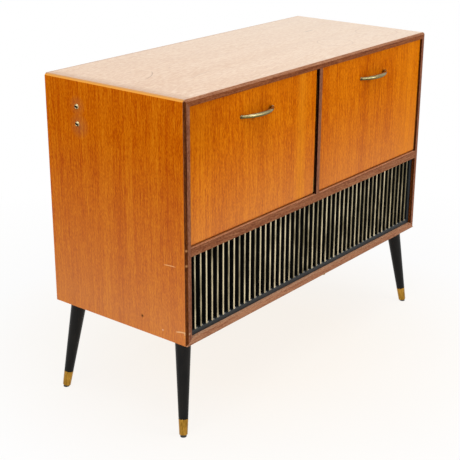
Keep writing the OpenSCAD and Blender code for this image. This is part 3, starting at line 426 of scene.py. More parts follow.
CHIPS = {
    "lipping_upright": [spot("#c9a27c", 0.8, (-0.492, -0.2, 0.265), 0.004)],
    "lipping_stain": [spot("#c08a5a", 0.9, (-0.498, -0.198, z), 0.004) for z in (0.464, 0.4285)],
}
for key, name, grain, shades in (
    # The rail between doors and grille, and the uprights: brown, with a little dust in the grain
    ("lipping_flat", "dark teak lipping", 0, ("#6a3820", "#875233", "#9f6c4b")),
    ("lipping_upright", "dark teak lipping, upright", 2, ("#653622", "#7f4e36", "#946449")),
    # The bottom rail, paler, whose finish also paints a highlight on the rails' upper bevels, and a painted
    # highlight on the faces that look up
    ("lipping_low", "dark teak lipping, rubbed", 0, ("#7c4a30", "#966447", "#ad7c5c")),
    ("lipping_worn", "dark teak lipping, worn through", 0, ("#a87250", "#bd8a68", "#cda284")),
    # The bevel beside the left side board and the insides beside doors and grille: painted shade, deepest
    # beside the partition
    ("lipping_stain", "stained teak bevel", 2, ("#341503", "#4c2206", "#68350f")),
    ("lipping_black", "black-stained teak", 2, ("#100402", "#180603", "#220905")),
    # The top rail, which still holds its oil and its colour
    ("lipping_top", "dark teak lipping, oiled", 0, ("#5c2a12", "#78401f", "#8e5430")),
):
    looks[key] = veneer(name, grain, *shades, seed=41.0, pore=0.35, marks=CHIPS.get(key, ()),
                        Roughness=0.5, Specular_IOR_Level=0.05)
looks["beech"] = veneer(
    "sawn beech", 2, "#a87c4c", "#be9462", "#cfa676", seed=53.0, Roughness=0.7, Specular_IOR_Level=0.2)
print("wood finishes:", len(looks))

# %% [markdown]
# ## Metal, paint, plastic, rubber and cloth
# These share one recipe: two close tones mixed by a fine noise, a roughness that drifts a little, and
# a shallow bump. What changes is the size of the pattern in millimetres and the way it is stretched:
# brushed and drawn metal has long scratches, spun metal has rings, a moulded skin has an even grain.

# %% A recipe for other finishes
# How far the bars of a row differ in tone, and how much darker a painted falloff of light makes them over a
# metre
OWN_TONE, DULLER = 0.35, 0.35
DARK_AT, LIGHT_AT = 0.55, 0.95


def finish(name, dark, light, grain, rough, bump=0.03, stretch=(1, 1, 1), spun=None, each=None, **surface):
    """Two tones and a relief. With spun, the pattern runs in rings round an axis through that point. With
    each, every bar of a row that many mm apart along X gets a tone of its own, and a painted falloff of light
    makes the bars darker towards +X."""
    made, tree, body = material(name, Roughness=rough, **surface)
    place = add(tree, "ShaderNodeTexCoord").outputs["Object"]
    pattern = place
    if spun:
        across = [float(c is not None) for c in spun]
        flat = add(tree, "ShaderNodeVectorMath", {0: place, 1: across}, operation="MULTIPLY").outputs[0]
        middle = [0 if c is None else c * MM for c in spun]
        far = add(tree, "ShaderNodeVectorMath", {0: flat, 1: middle}, operation="DISTANCE").outputs["Value"]
        pattern = add(tree, "ShaderNodeCombineXYZ", {0: far}).outputs[0]
    scaled = add(tree, "ShaderNodeMapping", {
        "Vector": pattern, "Scale": [1 / (grain * MM * s) for s in stretch]}).outputs[0]
    fine = add(tree, "ShaderNodeTexNoise", {"Vector": scaled, "Scale": 1.0, "Detail": 3.0}).outputs["Fac"]
    # Soft clouds about 45 mm wide, under the fine pattern
    wide = add(tree, "ShaderNodeTexNoise", {"Vector": place, "Scale": 22.0, "Detail": 2.0}).outputs["Fac"]
    tone = add(tree, "ShaderNodeMath", {0: wide, 1: 0.5, 2: fine}, operation="MULTIPLY_ADD").outputs[0]
    if each:
        along = add(tree, "ShaderNodeSeparateXYZ", {0: place}).outputs[0]
        number = add(tree, "ShaderNodeMath", {0: along, 1: 1 / (each * MM)}, operation="MULTIPLY").outputs[0]
        number = add(tree, "ShaderNodeMath", {0: number}, operation="ROUND").outputs[0]
        own = add(tree, "ShaderNodeTexWhiteNoise", {"W": number}, noise_dimensions="1D").outputs["Value"]
        own = add(tree, "ShaderNodeMath", {0: own, 1: 0.5}, operation="SUBTRACT").outputs[0]
        for value, factor in ((own, OWN_TONE), (along, -DULLER)):
            tone = add(tree, "ShaderNodeMath", {0: value, 1: factor, 2: tone},
                       operation="MULTIPLY_ADD").outputs[0]
    colour = add(tree, "ShaderNodeValToRGB", {"Fac": tone},
                 stops=[(DARK_AT, linear(dark)), (LIGHT_AT, linear(light))])
    tree.links.new(colour.outputs["Color"], body.inputs["Base Color"])
    drift = add(tree, "ShaderNodeMapRange", {
        0: tone, 1: 0.5, 2: 1.0, 3: rough * 0.85, 4: min(1, rough * 1.15)})
    tree.links.new(drift.outputs[0], body.inputs["Roughness"])
    relief = add(tree, "ShaderNodeBump", {"Height": fine, "Strength": 0.4, "Distance": bump * MM})
    tree.links.new(relief.outputs[0], body.inputs["Normal"])
    return made


print("tones lie between", DARK_AT, "and", LIGHT_AT, "of the pattern")

# %% [markdown]
# Metals differ most in how they were worked and protected. Lacquered brass stays pale and keeps a narrow
# highlight, darker copies of it paint the shade under a bar, and the slot of a screw holds dirt and painted
# shade. Each keeps a metal's default IOR.

# %% Metals
PLATTER = (-290, -10)
SLAT_PITCH = 20

looks.update(
    # Aged brass: warm, slightly green and soft in its reflections
    brass=finish("aged brass", "#8c7a44", "#b8a566", 2.5, 0.32, Metallic=1.0),
    # Drawn brass bar under lacquer: a long fine grain and a pale narrow highlight. Two darker, greener copies
    # paint the shade on its underside, the darkest where it looks most down
    bow_brass=finish("lacquered brass bar", "#7a7048", "#aca07a", 3.0, 0.26, bump=0.01, stretch=(40, 1, 1),
                     Metallic=1.0),
    bow_olive=finish("lacquered brass bar, dulled", "#55522c", "#7b763f", 3.0, 0.3, bump=0.01,
                     stretch=(40, 1, 1), Metallic=1.0),
    tarnish=finish("tarnished brass", "#241f0c", "#484222", 3.0, 0.4, Metallic=1.0),
    # Polished tube: a deep yellow with crisp reflections
    ferrule_brass=finish("polished brass tube", "#8a6420", "#b98a38", 3.0, 0.26, stretch=(1, 1, 5),
                         Metallic=1.0),
    # Screws turned on a lathe: bright and fine-grained; dirt and a painted shade darken the slot, and a
    # painted shade some flanks
    screw_brass=finish("turned brass", "#a8976a", "#ddd0a4", 1.0, 0.3, Metallic=1.0),
    grime=finish("grimed brass", "#0a0805", "#17120b", 1.0, 0.8, Specular_IOR_Level=0.1),
    # Zinc plating: pale, bluish and a little cloudy; cadmium is greyer and duller
    steel=finish("zinc-plated steel", "#8f9396", "#b4b7b8", 4.0, 0.36, Metallic=1.0),
    chassis=finish("cadmium-plated sheet steel", "#9a9d98", "#bdbfb8", 9.0, 0.42, Metallic=1.0),
    # Anodised aluminium keeps the metal's sheen under a warm dye; no two strips took it quite alike, and a
    # painted falloff of light darkens them towards the right
    gold_strip=finish("champagne anodised aluminium", "#756a4c", "#e2d2aa", 3.0, 0.36, stretch=(1, 1, 20),
                      each=SLAT_PITCH, Metallic=0.5),
    # The flank that faces away from the light: a painted shade
    strip_dull=finish("champagne aluminium, dulled", "#2f2a1c", "#80755a", 3.0, 0.5, stretch=(1, 1, 20),
                      each=SLAT_PITCH, Metallic=0.4),
    # A satin tube, drawn lengthwise, and a disc with the rings of the lathe
    arm_tube=finish("satin aluminium tube", "#a9abac", "#c9cacb", 2.0, 0.3, stretch=(1, 8, 1), Metallic=1.0),
    spun_alloy=finish("spun aluminium", "#a3a5a4", "#cfd0ce", 0.5, 0.3, spun=(*PLATTER, None), Metallic=1.0),
    # The transformers: dark edges of thin sheets, and reddish wire under a clear enamel
    core=finish("stacked core steel", "#3c3f41", "#595d60", 0.6, 0.5, bump=0.2, stretch=(60, 1, 60),
                Metallic=0.6),
    copper=finish("enamelled copper winding", "#7a3c1a", "#a35a2a", 1.0, 0.4, stretch=(8, 8, 1),
                  Metallic=1.0),
    # Getter film on mica: a warm grey that is half a mirror
    mica=finish("mica and getter film", "#b9b6a6", "#d6d3c6", 3.0, 0.35, Metallic=0.3),
)

# The caps of the knobs are spun brass, and their rings run round each knob's own axis
KNOB_Z = 532
KNOBS = {name: sum(corner.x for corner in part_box(name + "_knob")) / 2 / MM
         for name in ("volume", "tone", "tuning")}
for name, x in KNOBS.items():
    looks[name + "_cap"] = finish("spun brass cap, " + name, "#a48a4a", "#cdb878", 0.5, 0.28,
                                  spun=(x, None, KNOB_Z), Metallic=1.0)
print("woods and metals:", len(looks))

# %% [markdown]
# Paint and lacquer lie on wood or steel in thin even coats, so their tones are close together. What
# tells them apart is their gloss. Inside the case everything is matt, so that nothing shines through
# the grille.

# %% Paints, lacquers and inks
looks.update(
    # Lacquer over wood: nearly black, glossy enough for soft highlights
    black_lacquer=finish("black lacquered wood", "#090807", "#14120f", 14.0, 0.38, stretch=(1, 1, 4),
                         Specular_IOR_Level=0.15),
    # The grille's frame: a blue-black satin; its slats are blacker and matt
    black_paint=finish("satin black paint", "#171c1e", "#242a2d", 2.5, 0.5, Specular_IOR_Level=0.3),
    slat_black=finish("matt black paint", "#060606", "#0d0d0d", 3.0, 0.65, stretch=(1, 1, 8),
                      Specular_IOR_Level=0.2),
    baffle_black=finish("black-stained plywood", "#0a0a0a", "#141312", 8.0, 0.8, Specular_IOR_Level=0.1),
    # Stove enamel: cream, smooth and glossy; hammered paint: dimples some millimetres wide
    enamel=finish("cream stove enamel", "#cfc8b2", "#dcd6c3", 30.0, 0.28, Specular_IOR_Level=0.5),
    grey_paint=finish("hammered grey paint", "#5c6062", "#777b7d", 5.0, 0.45, bump=0.15),
    pointer_red=finish("red enamelled needle", "#a8200f", "#c8301a", 5.0, 0.35),
    # The dial's black plate and the inks of its figures and of the deck's
    scale_black=finish("screen-printed steel, black", "#0d1416", "#131c1e", 10.0, 0.3),
    print_cream=finish("screen-printed ink, cream", "#e4d9ae", "#efe6c4", 5.0, 0.5),
    print_brown=finish("screen-printed ink, brown", "#4b3626", "#5a4331", 5.0, 0.5),
)

# %% [markdown]
# Moulded and pressed parts keep the skin of their mould or press: plastics are smooth with a soft
# gloss, rubber and pulp paper are matt and grainy, and pressed board has a fine felted grain.

# %% Plastic, glass, rubber, paper and board
looks.update(
    panel=finish("moulded polystyrene, cream", "#d8cfb6", "#e2dac4", 12.0, 0.4),
    ivory=finish("moulded urea plastic, ivory", "#ddd2b4", "#e9e0c8", 8.0, 0.28),
    dark_plastic=finish("moulded phenolic, dark", "#221c18", "#2f2823", 3.0, 0.38),
    # A plain grey for small blocks at the slats' feet: a painted highlight for the lit top of the grille's
    # bottom rail
    clip_grey=finish("moulded grey clip", "#77746e", "#a09c94", 1.5, 0.5),
    nylon=finish("moulded nylon glide", "#141414", "#242424", 2.0, 0.5),
    # Glass: clear and mirror-smooth
    glass=finish("clear glass", "#f4f8f6", "#ffffff", 40.0, 0.03, bump=0.0, Transmission_Weight=1.0, IOR=1.5),
    rubber=finish("moulded rubber", "#161616", "#242424", 1.2, 0.7, bump=0.05),
    cone_paper=finish("pulp paper", "#262220", "#3a3532", 1.6, 0.85, bump=0.08),
    hardboard=finish("pressed hardboard", "#4c2f1b", "#6b4629", 1.8, 0.75, bump=0.1, Specular_IOR_Level=0.25),
)
print("finishes in all:", len(looks))

# %% [markdown]
# ## Making and keeping a piece
# Shapes are drawn in millimetres and shrunk to metres when they are kept. A kept piece sits at the origin with
# its place in its mesh, rides on a body, takes its finishes and stands for the plain solid that it replaces.
# Flat faces stay flat and only shallow angles are smoothed.

# %% Keeping a piece
SLIVER = 0.002
SMOOTH_UNDER = math.radians(20)
made_pieces = []


def keep(name, form, body, look, replaces=()):
    bmesh.ops.dissolve_degenerate(form, dist=SLIVER, edges=form.edges)
    bmesh.ops.recalc_face_normals(form, faces=form.faces)
    bmesh.ops.scale(form, vec=(MM, MM, MM), verts=form.verts)
    mesh = bpy.data.meshes.new(name)
    form.to_mesh(mesh)
    form.free()
    for one in [look] if isinstance(look, str) else look:
        mesh.materials.append(looks[one])
    mesh.shade_smooth()
    mesh.set_sharp_from_angle(angle=SMOOTH_UNDER)
    piece = bpy.data.objects.new(name, mesh)
    scene.collection.objects.link(piece)
    # Weighted by area, a normal at the rim of a large flat face stays square to it, so the face shades flat
    weighted = piece.modifiers.new("weighted normals", "WEIGHTED_NORMAL")
    weighted.keep_sharp = True
    piece.data = bpy.data.meshes.new_from_object(piece.evaluated_get(bpy.context.evaluated_depsgraph_get()))
    piece.modifiers.clear()
    bpy.data.meshes.remove(mesh)
    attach(piece, body)
    if replaces:
        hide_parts(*replaces)
    made_pieces.append(name)
    return piece


def cad(node):
    """Lowest and highest corner of a solid, in millimetres."""
    low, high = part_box(node)
    return low / MM, high / MM


def dress(look, *nodes):
    """Give plain solids a finish and leave their shape as it is."""
    for node in nodes:
        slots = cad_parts[node].data.materials
        slots.clear()
        slots.append(looks[look])


# %% [markdown]
# A few small builders draw nearly everything. `eased` copies a solid and rounds its sharp edges by a
# fraction of a millimetre, as sandpaper does; without that, edges don't catch the light. A solid comes
# as loose triangles, so a copy is merged first and its flat faces are made whole again.

# %% Copying and easing
SHARP_OVER = math.radians(28)


def ease(form, width, steps=2, clamp=True):
    """Round the sharp edges. With clamp, a bevel stops where it would run into another."""
    sharp = [e for e in form.edges if e.is_manifold and e.calc_face_angle(0) > SHARP_OVER]
    bmesh.ops.bevel(form, geom=sharp, offset=width, segments=steps, profile=0.5, affect="EDGES",
                    clamp_overlap=clamp)
    return form


def copied(node):
    form = bmesh.new()
    form.from_mesh(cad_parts[node].data)
    bmesh.ops.remove_doubles(form, verts=form.verts, dist=1e-6)
    bmesh.ops.scale(form, vec=(1 / MM, 1 / MM, 1 / MM), verts=form.verts)
    bmesh.ops.dissolve_limit(form, angle_limit=math.radians(0.5), verts=form.verts, edges=form.edges)
    return form


def eased(node, width, clamp=True):
    return ease(copied(node), width, clamp=clamp)


def join(form, part):
    """Add a part that was drawn on its own to a form."""
    mesh = bpy.data.meshes.new("part")
    part.to_mesh(mesh)
    part.free()
    form.from_mesh(mesh)
    bpy.data.meshes.remove(mesh)


trial = eased("top_board", 0.5)
print("faces of the top board, eased:", len(trial.faces))
trial.free()

# %% [markdown]
# `turned` works like a lathe, `rod` bends a round bar along points, `slab` is a plain block that is
# always eased or joined to more, and `framed` runs a moulding round a rectangle. All but the block are
# rings of points with a skin of faces between them.

# %% Lathe, rod, block and moulding
TURNS = {"X": Matrix.Rotation(math.pi / 2, 4, "Y"), "Y": Matrix.Rotation(-math.pi / 2, 4, "X"),
         "Z": Matrix.Identity(4)}


def skin(form, rings, ends):
    """Faces between rings of points, where a ring of one point is a tip. With ends, the first and last ring
    are closed, and without, they are joined."""
    sides = max(len(ring) for ring in rings)
    pairs = list(zip(rings, rings[1:])) + ([] if ends else [(rings[-1], rings[0])])
    for low, high in pairs:
        for i in range(sides if len(low) > 1 or len(high) > 1 else 0):
            j = (i + 1) % sides
            corners = [low[i % len(low)], low[j % len(low)], high[j % len(high)], high[i % len(high)]]
            form.faces.new(list(dict.fromkeys(corners)))
    if ends:
        for ring in (rings[0], rings[-1]):
            if len(ring) > 1:
                form.faces.new(ring)


def turned(form, profile, at, axis="Z", sides=64, flutes=0, closed=False):
    """Spin a profile of (radius, height, flute depth) round an axis; closed joins its end to its start."""
    where = Matrix.Translation(at) @ TURNS[axis]
    rings = []
    for radius, height, *depth in profile:
        ring = []
        for i in range(sides if radius else 1):
            angle = 2 * math.pi * i / sides
            cut = depth[0] * (0.5 + 0.5 * math.cos(flutes * angle)) if depth else 0
            ring.append(form.verts.new(where @ Vector(
                ((radius - cut) * math.cos(angle), (radius - cut) * math.sin(angle), height))))
        rings.append(ring)
    skin(form, rings, not closed)
    return form


def rod(form, points, radii, sides=20):
    points = [Vector(p) for p in points]
    side, rings = None, []
    for i, (point, radius) in enumerate(zip(points, radii)):
        ahead = (points[min(i + 1, len(points) - 1)] - points[max(i - 1, 0)]).normalized()
        side = ahead.orthogonal() if side is None else side
        side = (side - ahead * side.dot(ahead)).normalized()
        up = ahead.cross(side)
        turns = [2 * math.pi * k / sides for k in range(sides)]
        rings.append([
            form.verts.new(point + radius * (side * math.cos(a) + up * math.sin(a))) for a in turns])
    skin(form, rings, True)
    return form


def slab(form, low, high):
    middle = [(a + b) / 2 for a, b in zip(low, high)]
    size = [b - a for a, b in zip(low, high)]
    bmesh.ops.create_cube(form, size=1, matrix=Matrix.Translation(middle) @ Matrix.Diagonal((*size, 1)))
    return form


def framed(form, low, high, profile):
    """A moulding round a rectangle in XZ. The profile is (outwards, y), and its end meets its start."""
    rings = []
    for right, up in ((-1, -1), (1, -1), (1, 1), (-1, 1)):
        x, z = (high if right > 0 else low)[0], (high if up > 0 else low)[1]
        rings.append([form.verts.new((x + right * out, y, z + up * out)) for out, y in profile])
    skin(form, rings, False)
    return form


print("builders ready; axes:", sorted(TURNS))

# %% [markdown]
# Some pieces are several solids or finishes in one. `tint` numbers the faces drawn since its last call,
# `islands` tells separate solids apart, and `extent` measures one of them.

# %% Sorting faces
def tint(form, number):
    """Give every face drawn since the last call this material number."""
    for face in form.faces:
        if not face.tag:
            face.material_index, face.tag = number, True


def islands(form):
    """The faces of each separate solid in a form, in the order of their first faces, so that every run
    gives the same list."""
    left = set(form.faces)
    for first in form.faces:
        if first not in left:
            continue
        left.remove(first)
        todo, found = [first], []
        while todo:
            face = todo.pop()
            found.append(face)
            near = {other for edge in face.edges for other in edge.link_faces} & left
            left -= near
            todo += near
        yield found


def extent(faces):
    """Lowest and highest corner of some faces."""
    corners = [v.co for face in faces for v in face.verts]
    return [Vector([pick(c[i] for c in corners) for i in range(3)]) for pick in (min, max)]


trial = copied("valves")
print("valves are", len(list(islands(trial))), "separate solids")
trial.free()

# %% [markdown]
# ## Geometry Nodes for what repeats
# A tree starts from a small drawn form, such as the outline of one slat, and repeats it. Its sizes
# are named inputs. `grow` sets them by their identifiers before the object is first evaluated, takes
# the finished mesh, and removes the modifier.

# %% Trees
SOCKETS = {int: "Int", float: "Float", tuple: "Vector", bpy.types.Material: "Material"}


def new_tree(name, inputs):
    tree = bpy.data.node_groups.new(name, "GeometryNodeTree")
    for way in ("INPUT", "OUTPUT"):
        tree.interface.new_socket("Geometry", in_out=way, socket_type="NodeSocketGeometry")
    for label, kind in inputs.items():
        tree.interface.new_socket(label, in_out="INPUT", socket_type="NodeSocket" + SOCKETS[kind])
    return tree, add(tree, "NodeGroupInput").outputs


def close_tree(tree, geometry, finish_socket):
    real = add(tree, "GeometryNodeRealizeInstances", {0: geometry})
    done = add(tree, "GeometryNodeSetMaterial", {"Geometry": real.outputs[0], "Material": finish_socket})
    add(tree, "NodeGroupOutput", {0: done.outputs[0]})


def grow(tree, base, at=(0, 0, 0), into=None, **values):
    """Run a tree on a form, and return what it made, or add that to a form."""
    mesh = bpy.data.meshes.new("outline")
    base.to_mesh(mesh)
    base.free()
    holder = bpy.data.objects.new("holder", mesh)
    scene.collection.objects.link(holder)
    modifier = holder.modifiers.new("grow", "NODES")
    modifier.node_group = tree
    for item in tree.interface.items_tree:
        label = item.name.replace(" ", "_")
        if item.in_out == "INPUT" and label in values:
            modifier[item.identifier] = values[label]
    result = bpy.data.meshes.new_from_object(holder.evaluated_get(bpy.context.evaluated_depsgraph_get()))
    holder.modifiers.remove(modifier)
    bpy.data.objects.remove(holder)
    result.transform(Matrix.Translation(at))
    form = into or bmesh.new()
    form.from_mesh(result)
    return form


print("kinds of input:", sorted(SOCKETS.values()))

# %% [markdown]
# The first tree pulls a flat outline up to a bar, closes its foot, and stands a copy of the bar at every
# step of a line. It will make slats, strips, clips and the ticks of the dial, which are all rows of bars.

# %% Row of bars
row, given = new_tree("row of bars", {
    "Count": int, "Step": tuple, "Length": tuple, "Material": bpy.types.Material})
pulled = add(row, "GeometryNodeExtrudeMesh", {
    "Mesh": given["Geometry"], "Offset": given["Length"], "Offset Scale": 1.0, "Individual": False})
foot = add(row, "GeometryNodeFlipFaces", {0: given["Geometry"]})
bar = add(row, "GeometryNodeJoinGeometry", {0: pulled.outputs[0]})
row.links.new(foot.outputs[0], bar.inputs[0])
bar = add(row, "GeometryNodeMergeByDistance", {0: bar.outputs[0], "Distance": 0.001})
line = add(row, "GeometryNodeMeshLine", {"Count": given["Count"], "Offset": given["Step"]}, mode="OFFSET")
bars = add(row, "GeometryNodeInstanceOnPoints", {"Points": line.outputs[0], "Instance": bar.outputs[0]})
close_tree(row, bars.outputs[0], given["Material"])


def outline(points, z):
    """One flat face at height z, the section of a bar."""
    form = bmesh.new()
    form.faces.new([form.verts.new((x, y, z)) for x, y in points])
    return form


print("tree:", row.name, "inputs:", [socket.name for socket in given if socket.name])

# %% [markdown]
# ## The case
# Six boards make the box. They are copied from the solids with eased edges, and the veneers go on by the
# faces: outside the bright teak, inside the plain one. The first millimetres inside the uprights get a painted
# shade, so that the gaps beside doors and grille look deep.

# %% Case boards
STAINED = 12

# The bottom board takes the pale lipping finish: a painted highlight on its top, which shows between the slats
for node, look, width in (
    ("top_board", "teak_top", 0.5), ("bottom_board", "lipping_worn", 0.5),
    ("shelf_board", "teak_inside", 0.3), ("leg_blocks", "beech", 1.0), ("deck_plinth", "teak_inside", 0.8),
):
    keep("eased_" + node, eased(node, width), "cabinet", look, [node])

for node, finishes, inside in (
    ("partition", ("teak_inside", "teak_inside", "lipping_black"), -1),
    ("left_side_board", ("teak_side", "teak_inside", "lipping_stain"), 1),
    ("right_side_board", ("teak_side", "teak_inside", "lipping_stain"), -1),
):
    wall = copied(node)
    stain_y = cad(node)[0].y + STAINED
    bmesh.ops.bisect_plane(wall, geom=wall.verts[:] + wall.edges[:] + wall.faces[:],
                           plane_co=(0, stain_y, 0), plane_no=(0, 1, 0))
    # The front strip of each inner face gets the painted shade
    for face in wall.faces:
        if face.normal.x * inside > 0.7:
            face.material_index = 2 if face.calc_center_median().y < stain_y else 1
    keep("eased_" + node, ease(wall, 0.4), "cabinet", finishes, [node])
dress("hardboard", "back_board")
dress("rubber", "lead_grommet")
print("boards:", len(made_pieces))

# %% [markdown]
# The front edge is covered with dark solid lipping, mitred at the corners, with a rail between doors and
# grille and a strip on the partition. It is one solid in several lengths, so each length is told by its own
# extent, and each face gets the finish and the grain of its length. The bottom rail is paler. The bevels of
# the uprights and the insides beside the right door and grille get a painted shade, the partition's left face
# a deeper one, and the rails' upper bevels and the faces that look up a painted highlight.

# %% Lipping
LIPPING = ("lipping_flat", "lipping_upright", "lipping_low", "lipping_worn", "lipping_stain", "lipping_black",
           "lipping_top")
FLAT, UPRIGHT, LOW, WORN, STAIN, BLACK, OILED = range(len(LIPPING))
lipping = eased("front_lipping", 0.6)
case_low, case_high = cad("front_lipping")
for faces in islands(lipping):
    low, high = extent(faces)
    upright = high.z - low.z > high.x - low.x
    bottom = not upright and low.z < case_low.z + 1
    top = not upright and high.z > case_high.z - 1
    on_partition = upright and abs(low.x + high.x) < 20
    on_right = upright and low.x > 0 and not on_partition
    for face in faces:
        face.normal_update()
        normal = face.normal
        slant = normal.y < -0.5 and (normal.z > 0.5 or normal.x < -0.5)
        # The bevels of the rails take the pale finish as a painted highlight
        face.material_index = UPRIGHT if upright else LOW if bottom or slant else OILED if top else FLAT
        # The bevels of the uprights and the right upright's inside: painted shade
        if upright and (slant or (on_right and normal.x < -0.7)):
            face.material_index = STAIN
        # Faces that look up: a painted highlight
        elif normal.z > 0.5 and not upright and not slant:
            face.material_index = WORN
        # The partition's left face: a deeper painted shade
        elif on_partition and normal.x < -0.7:
            face.material_index = BLACK
keep("mitred_lipping", lipping, "cabinet", LIPPING, ["front_lipping"])
print("case pieces:", len(made_pieces))

# %% [markdown]
# ## Legs
# Four tapered round legs, lacquered black, splay out under the corners. Each ends in a brass ferrule
# and a small glide. They are turned pieces, so the solids already have the right round shape, and
# only their rims are eased.

# %% Legs, ferrules and glides
for leg in ("front_left_leg", "front_right_leg", "back_left_leg", "back_right_leg"):
    keep("lacquered_" + leg, eased(leg, 0.6), "cabinet", "black_lacquer", [leg])
keep("brass_ferrules", eased("ferrules", 0.35), "cabinet", "ferrule_brass", ["ferrules"])
dress("nylon", "glides")
dress("steel", "leg_bolts")

# %% [markdown]
# ## Grille
# Forty-seven thin black slats stand upright across the whole width. Drawing them one by one would work
# too, but one outline and the row tree say the same in a few numbers, read from the solid's own box.

# %% Slats
COUNT, SLAT_WIDE, NOSE = 47, 3.0, 0.6
slat_low, slat_high = cad("grille_slats")
pitch = (slat_high.x - slat_low.x - SLAT_WIDE) / (COUNT - 1)
next_one, tall = (pitch, 0.0, 0.0), (0.0, 0.0, slat_high.z - slat_low.z)
half = SLAT_WIDE / 2
slat_section = [(slat_low.x + half + x, y) for x, y in (
    (-half, slat_high.y), (-half, slat_low.y + NOSE), (-half + NOSE, slat_low.y), (half - NOSE, slat_low.y),
    (half, slat_low.y + NOSE), (half, slat_high.y))]
slats = grow(row, outline(slat_section, slat_low.z), Count=COUNT, Step=next_one, Length=tall,
             Material=looks["slat_black"])
keep("grille_slat_row", slats, "cabinet", "slat_black", ["grille_slats"])
print("slat pitch in mm:", round(pitch, 2))

# %% [markdown]
# Each slat has a champagne-coloured strip with a crowned face on its front edge, with a painted shade on the
# flank that faces away from the light, and at its foot a small grey block that paints the lit top of the
# bottom rail between the slats. The same tree makes both rows from two more outlines.

# %% Strips, painted rail highlights and the frame
STRIP_WIDE, CROWN, CROWN_STEPS, FLANK = 4.0, 1.4, 6, 0.42
CLIP_TALL = 2.6
strip_low, strip_high = cad("slat_strips")
half = STRIP_WIDE / 2
crown = [(half * t / CROWN_STEPS, strip_low.y + CROWN * (t / CROWN_STEPS) ** 2)
         for t in range(-CROWN_STEPS, CROWN_STEPS + 1)]
strip_section = [
    (strip_low.x + half + x, y) for x, y in crown + [(half, strip_high.y), (-half, strip_high.y)]]
strips = grow(row, outline(strip_section, strip_low.z), Count=COUNT, Step=next_one, Length=tall,
              Material=looks["gold_strip"])
# Flanks that face +X get the painted shade
for face in strips.faces:
    face.normal_update()
    face.material_index = int(face.normal.x > FLANK)
keep("slat_strip_row", strips, "cabinet", ("gold_strip", "strip_dull"), ["slat_strips"])

# Grey blocks just right of each slat's foot paint the lit top of the bottom rail between the slats
clip_section = [(strip_low.x + half + x, strip_low.y + y) for x, y in (
    (2.1, 3), (2.1, 0.6), (2.6, 0), (5.4, 0), (5.9, 0.6), (5.9, 3))]
clips = grow(row, outline(clip_section, strip_low.z), Count=COUNT, Step=next_one,
             Length=(0.0, 0.0, CLIP_TALL), Material=looks["clip_grey"])
keep("slat_foot_clips", ease(clips, 0.35, 1), "cabinet", "clip_grey")
keep("eased_grille_frame", eased("grille_frame", 0.8), "cabinet", "black_paint", ["grille_frame"])
print("strips and clips:", 2 * COUNT)

# %% [markdown]
# Black cloth is stretched over the loudspeaker board behind the slats, so that nothing shows between them. Two
# waves at right angles give it a weave. It lies flat, so a plain grid of faces is enough.

# %% Speaker cloth
# Real thread is finer. The wave repeats after 2 pi of these millimetres, coarse enough to show.
THREAD = 1.6
CLOTH_FROM, CLOTH_TO, TUCK, PROUD = -481, 481, 2, 0.6
ACROSS, UPWARDS = 48, 10

weave, tree, body = material("woven speaker cloth", Roughness=0.95, Specular_IOR_Level=0.1, Sheen_Weight=0.1)
place = add(tree, "ShaderNodeTexCoord").outputs["Object"]
warp, weft = [add(tree, "ShaderNodeTexWave", {
    "Vector": place, "Scale": 1 / (THREAD * MM) / 20, "Distortion": 0.4}, bands_direction=way).outputs["Fac"]
    for way in ("X", "Z")]
over = add(tree, "ShaderNodeMath", {0: warp, 1: weft}, operation="MULTIPLY")
shade = add(tree, "ShaderNodeValToRGB", {"Fac": over.outputs[0]},
            stops=[(0.0, linear("#040404")), (1.0, linear("#151413"))])
tree.links.new(shade.outputs["Color"], body.inputs["Base Color"])
relief = add(tree, "ShaderNodeBump", {"Height": over.outputs[0], "Strength": 0.5, "Distance": 0.2 * MM})
tree.links.new(relief.outputs[0], body.inputs["Normal"])
looks["weave"] = weave

board_low, board_high = cad("speaker_baffle")
cloth_low = Vector((CLOTH_FROM, 0, board_low.z + TUCK))
cloth_high = Vector((CLOTH_TO, 0, board_high.z - TUCK))
cloth = bmesh.new()
grid = [[cloth.verts.new((
    cloth_low.x + (cloth_high.x - cloth_low.x) * i / ACROSS, board_low.y - PROUD,
    cloth_low.z + (cloth_high.z - cloth_low.z) * k / UPWARDS)) for i in range(ACROSS + 1)]
    for k in range(UPWARDS + 1)]
for k in range(UPWARDS):
    for i in range(ACROSS):
        cloth.faces.new((grid[k][i], grid[k][i + 1], grid[k + 1][i + 1], grid[k + 1][i]))
piece = keep("speaker_cloth", cloth, "cabinet", "weave")
dress("baffle_black", "speaker_baffle")
dress("cone_paper", "speaker_cones")
dress("grey_paint", "speaker_frames")
print("cloth is", round(cloth_high.z - cloth_low.z), "mm high")

# %% [markdown]
# ## Doors and their bow handles
# Each leaf is a veneered board that drops forward on pins at its lower corners. Its handle is one
# brass bar, bent to a shallow arc and tapered towards both ends: the rule is an arc through three
# points, with a radius that falls with the square of the distance from the middle. That is a tree of
# its own, because a change of span or rise then carries through the whole form.

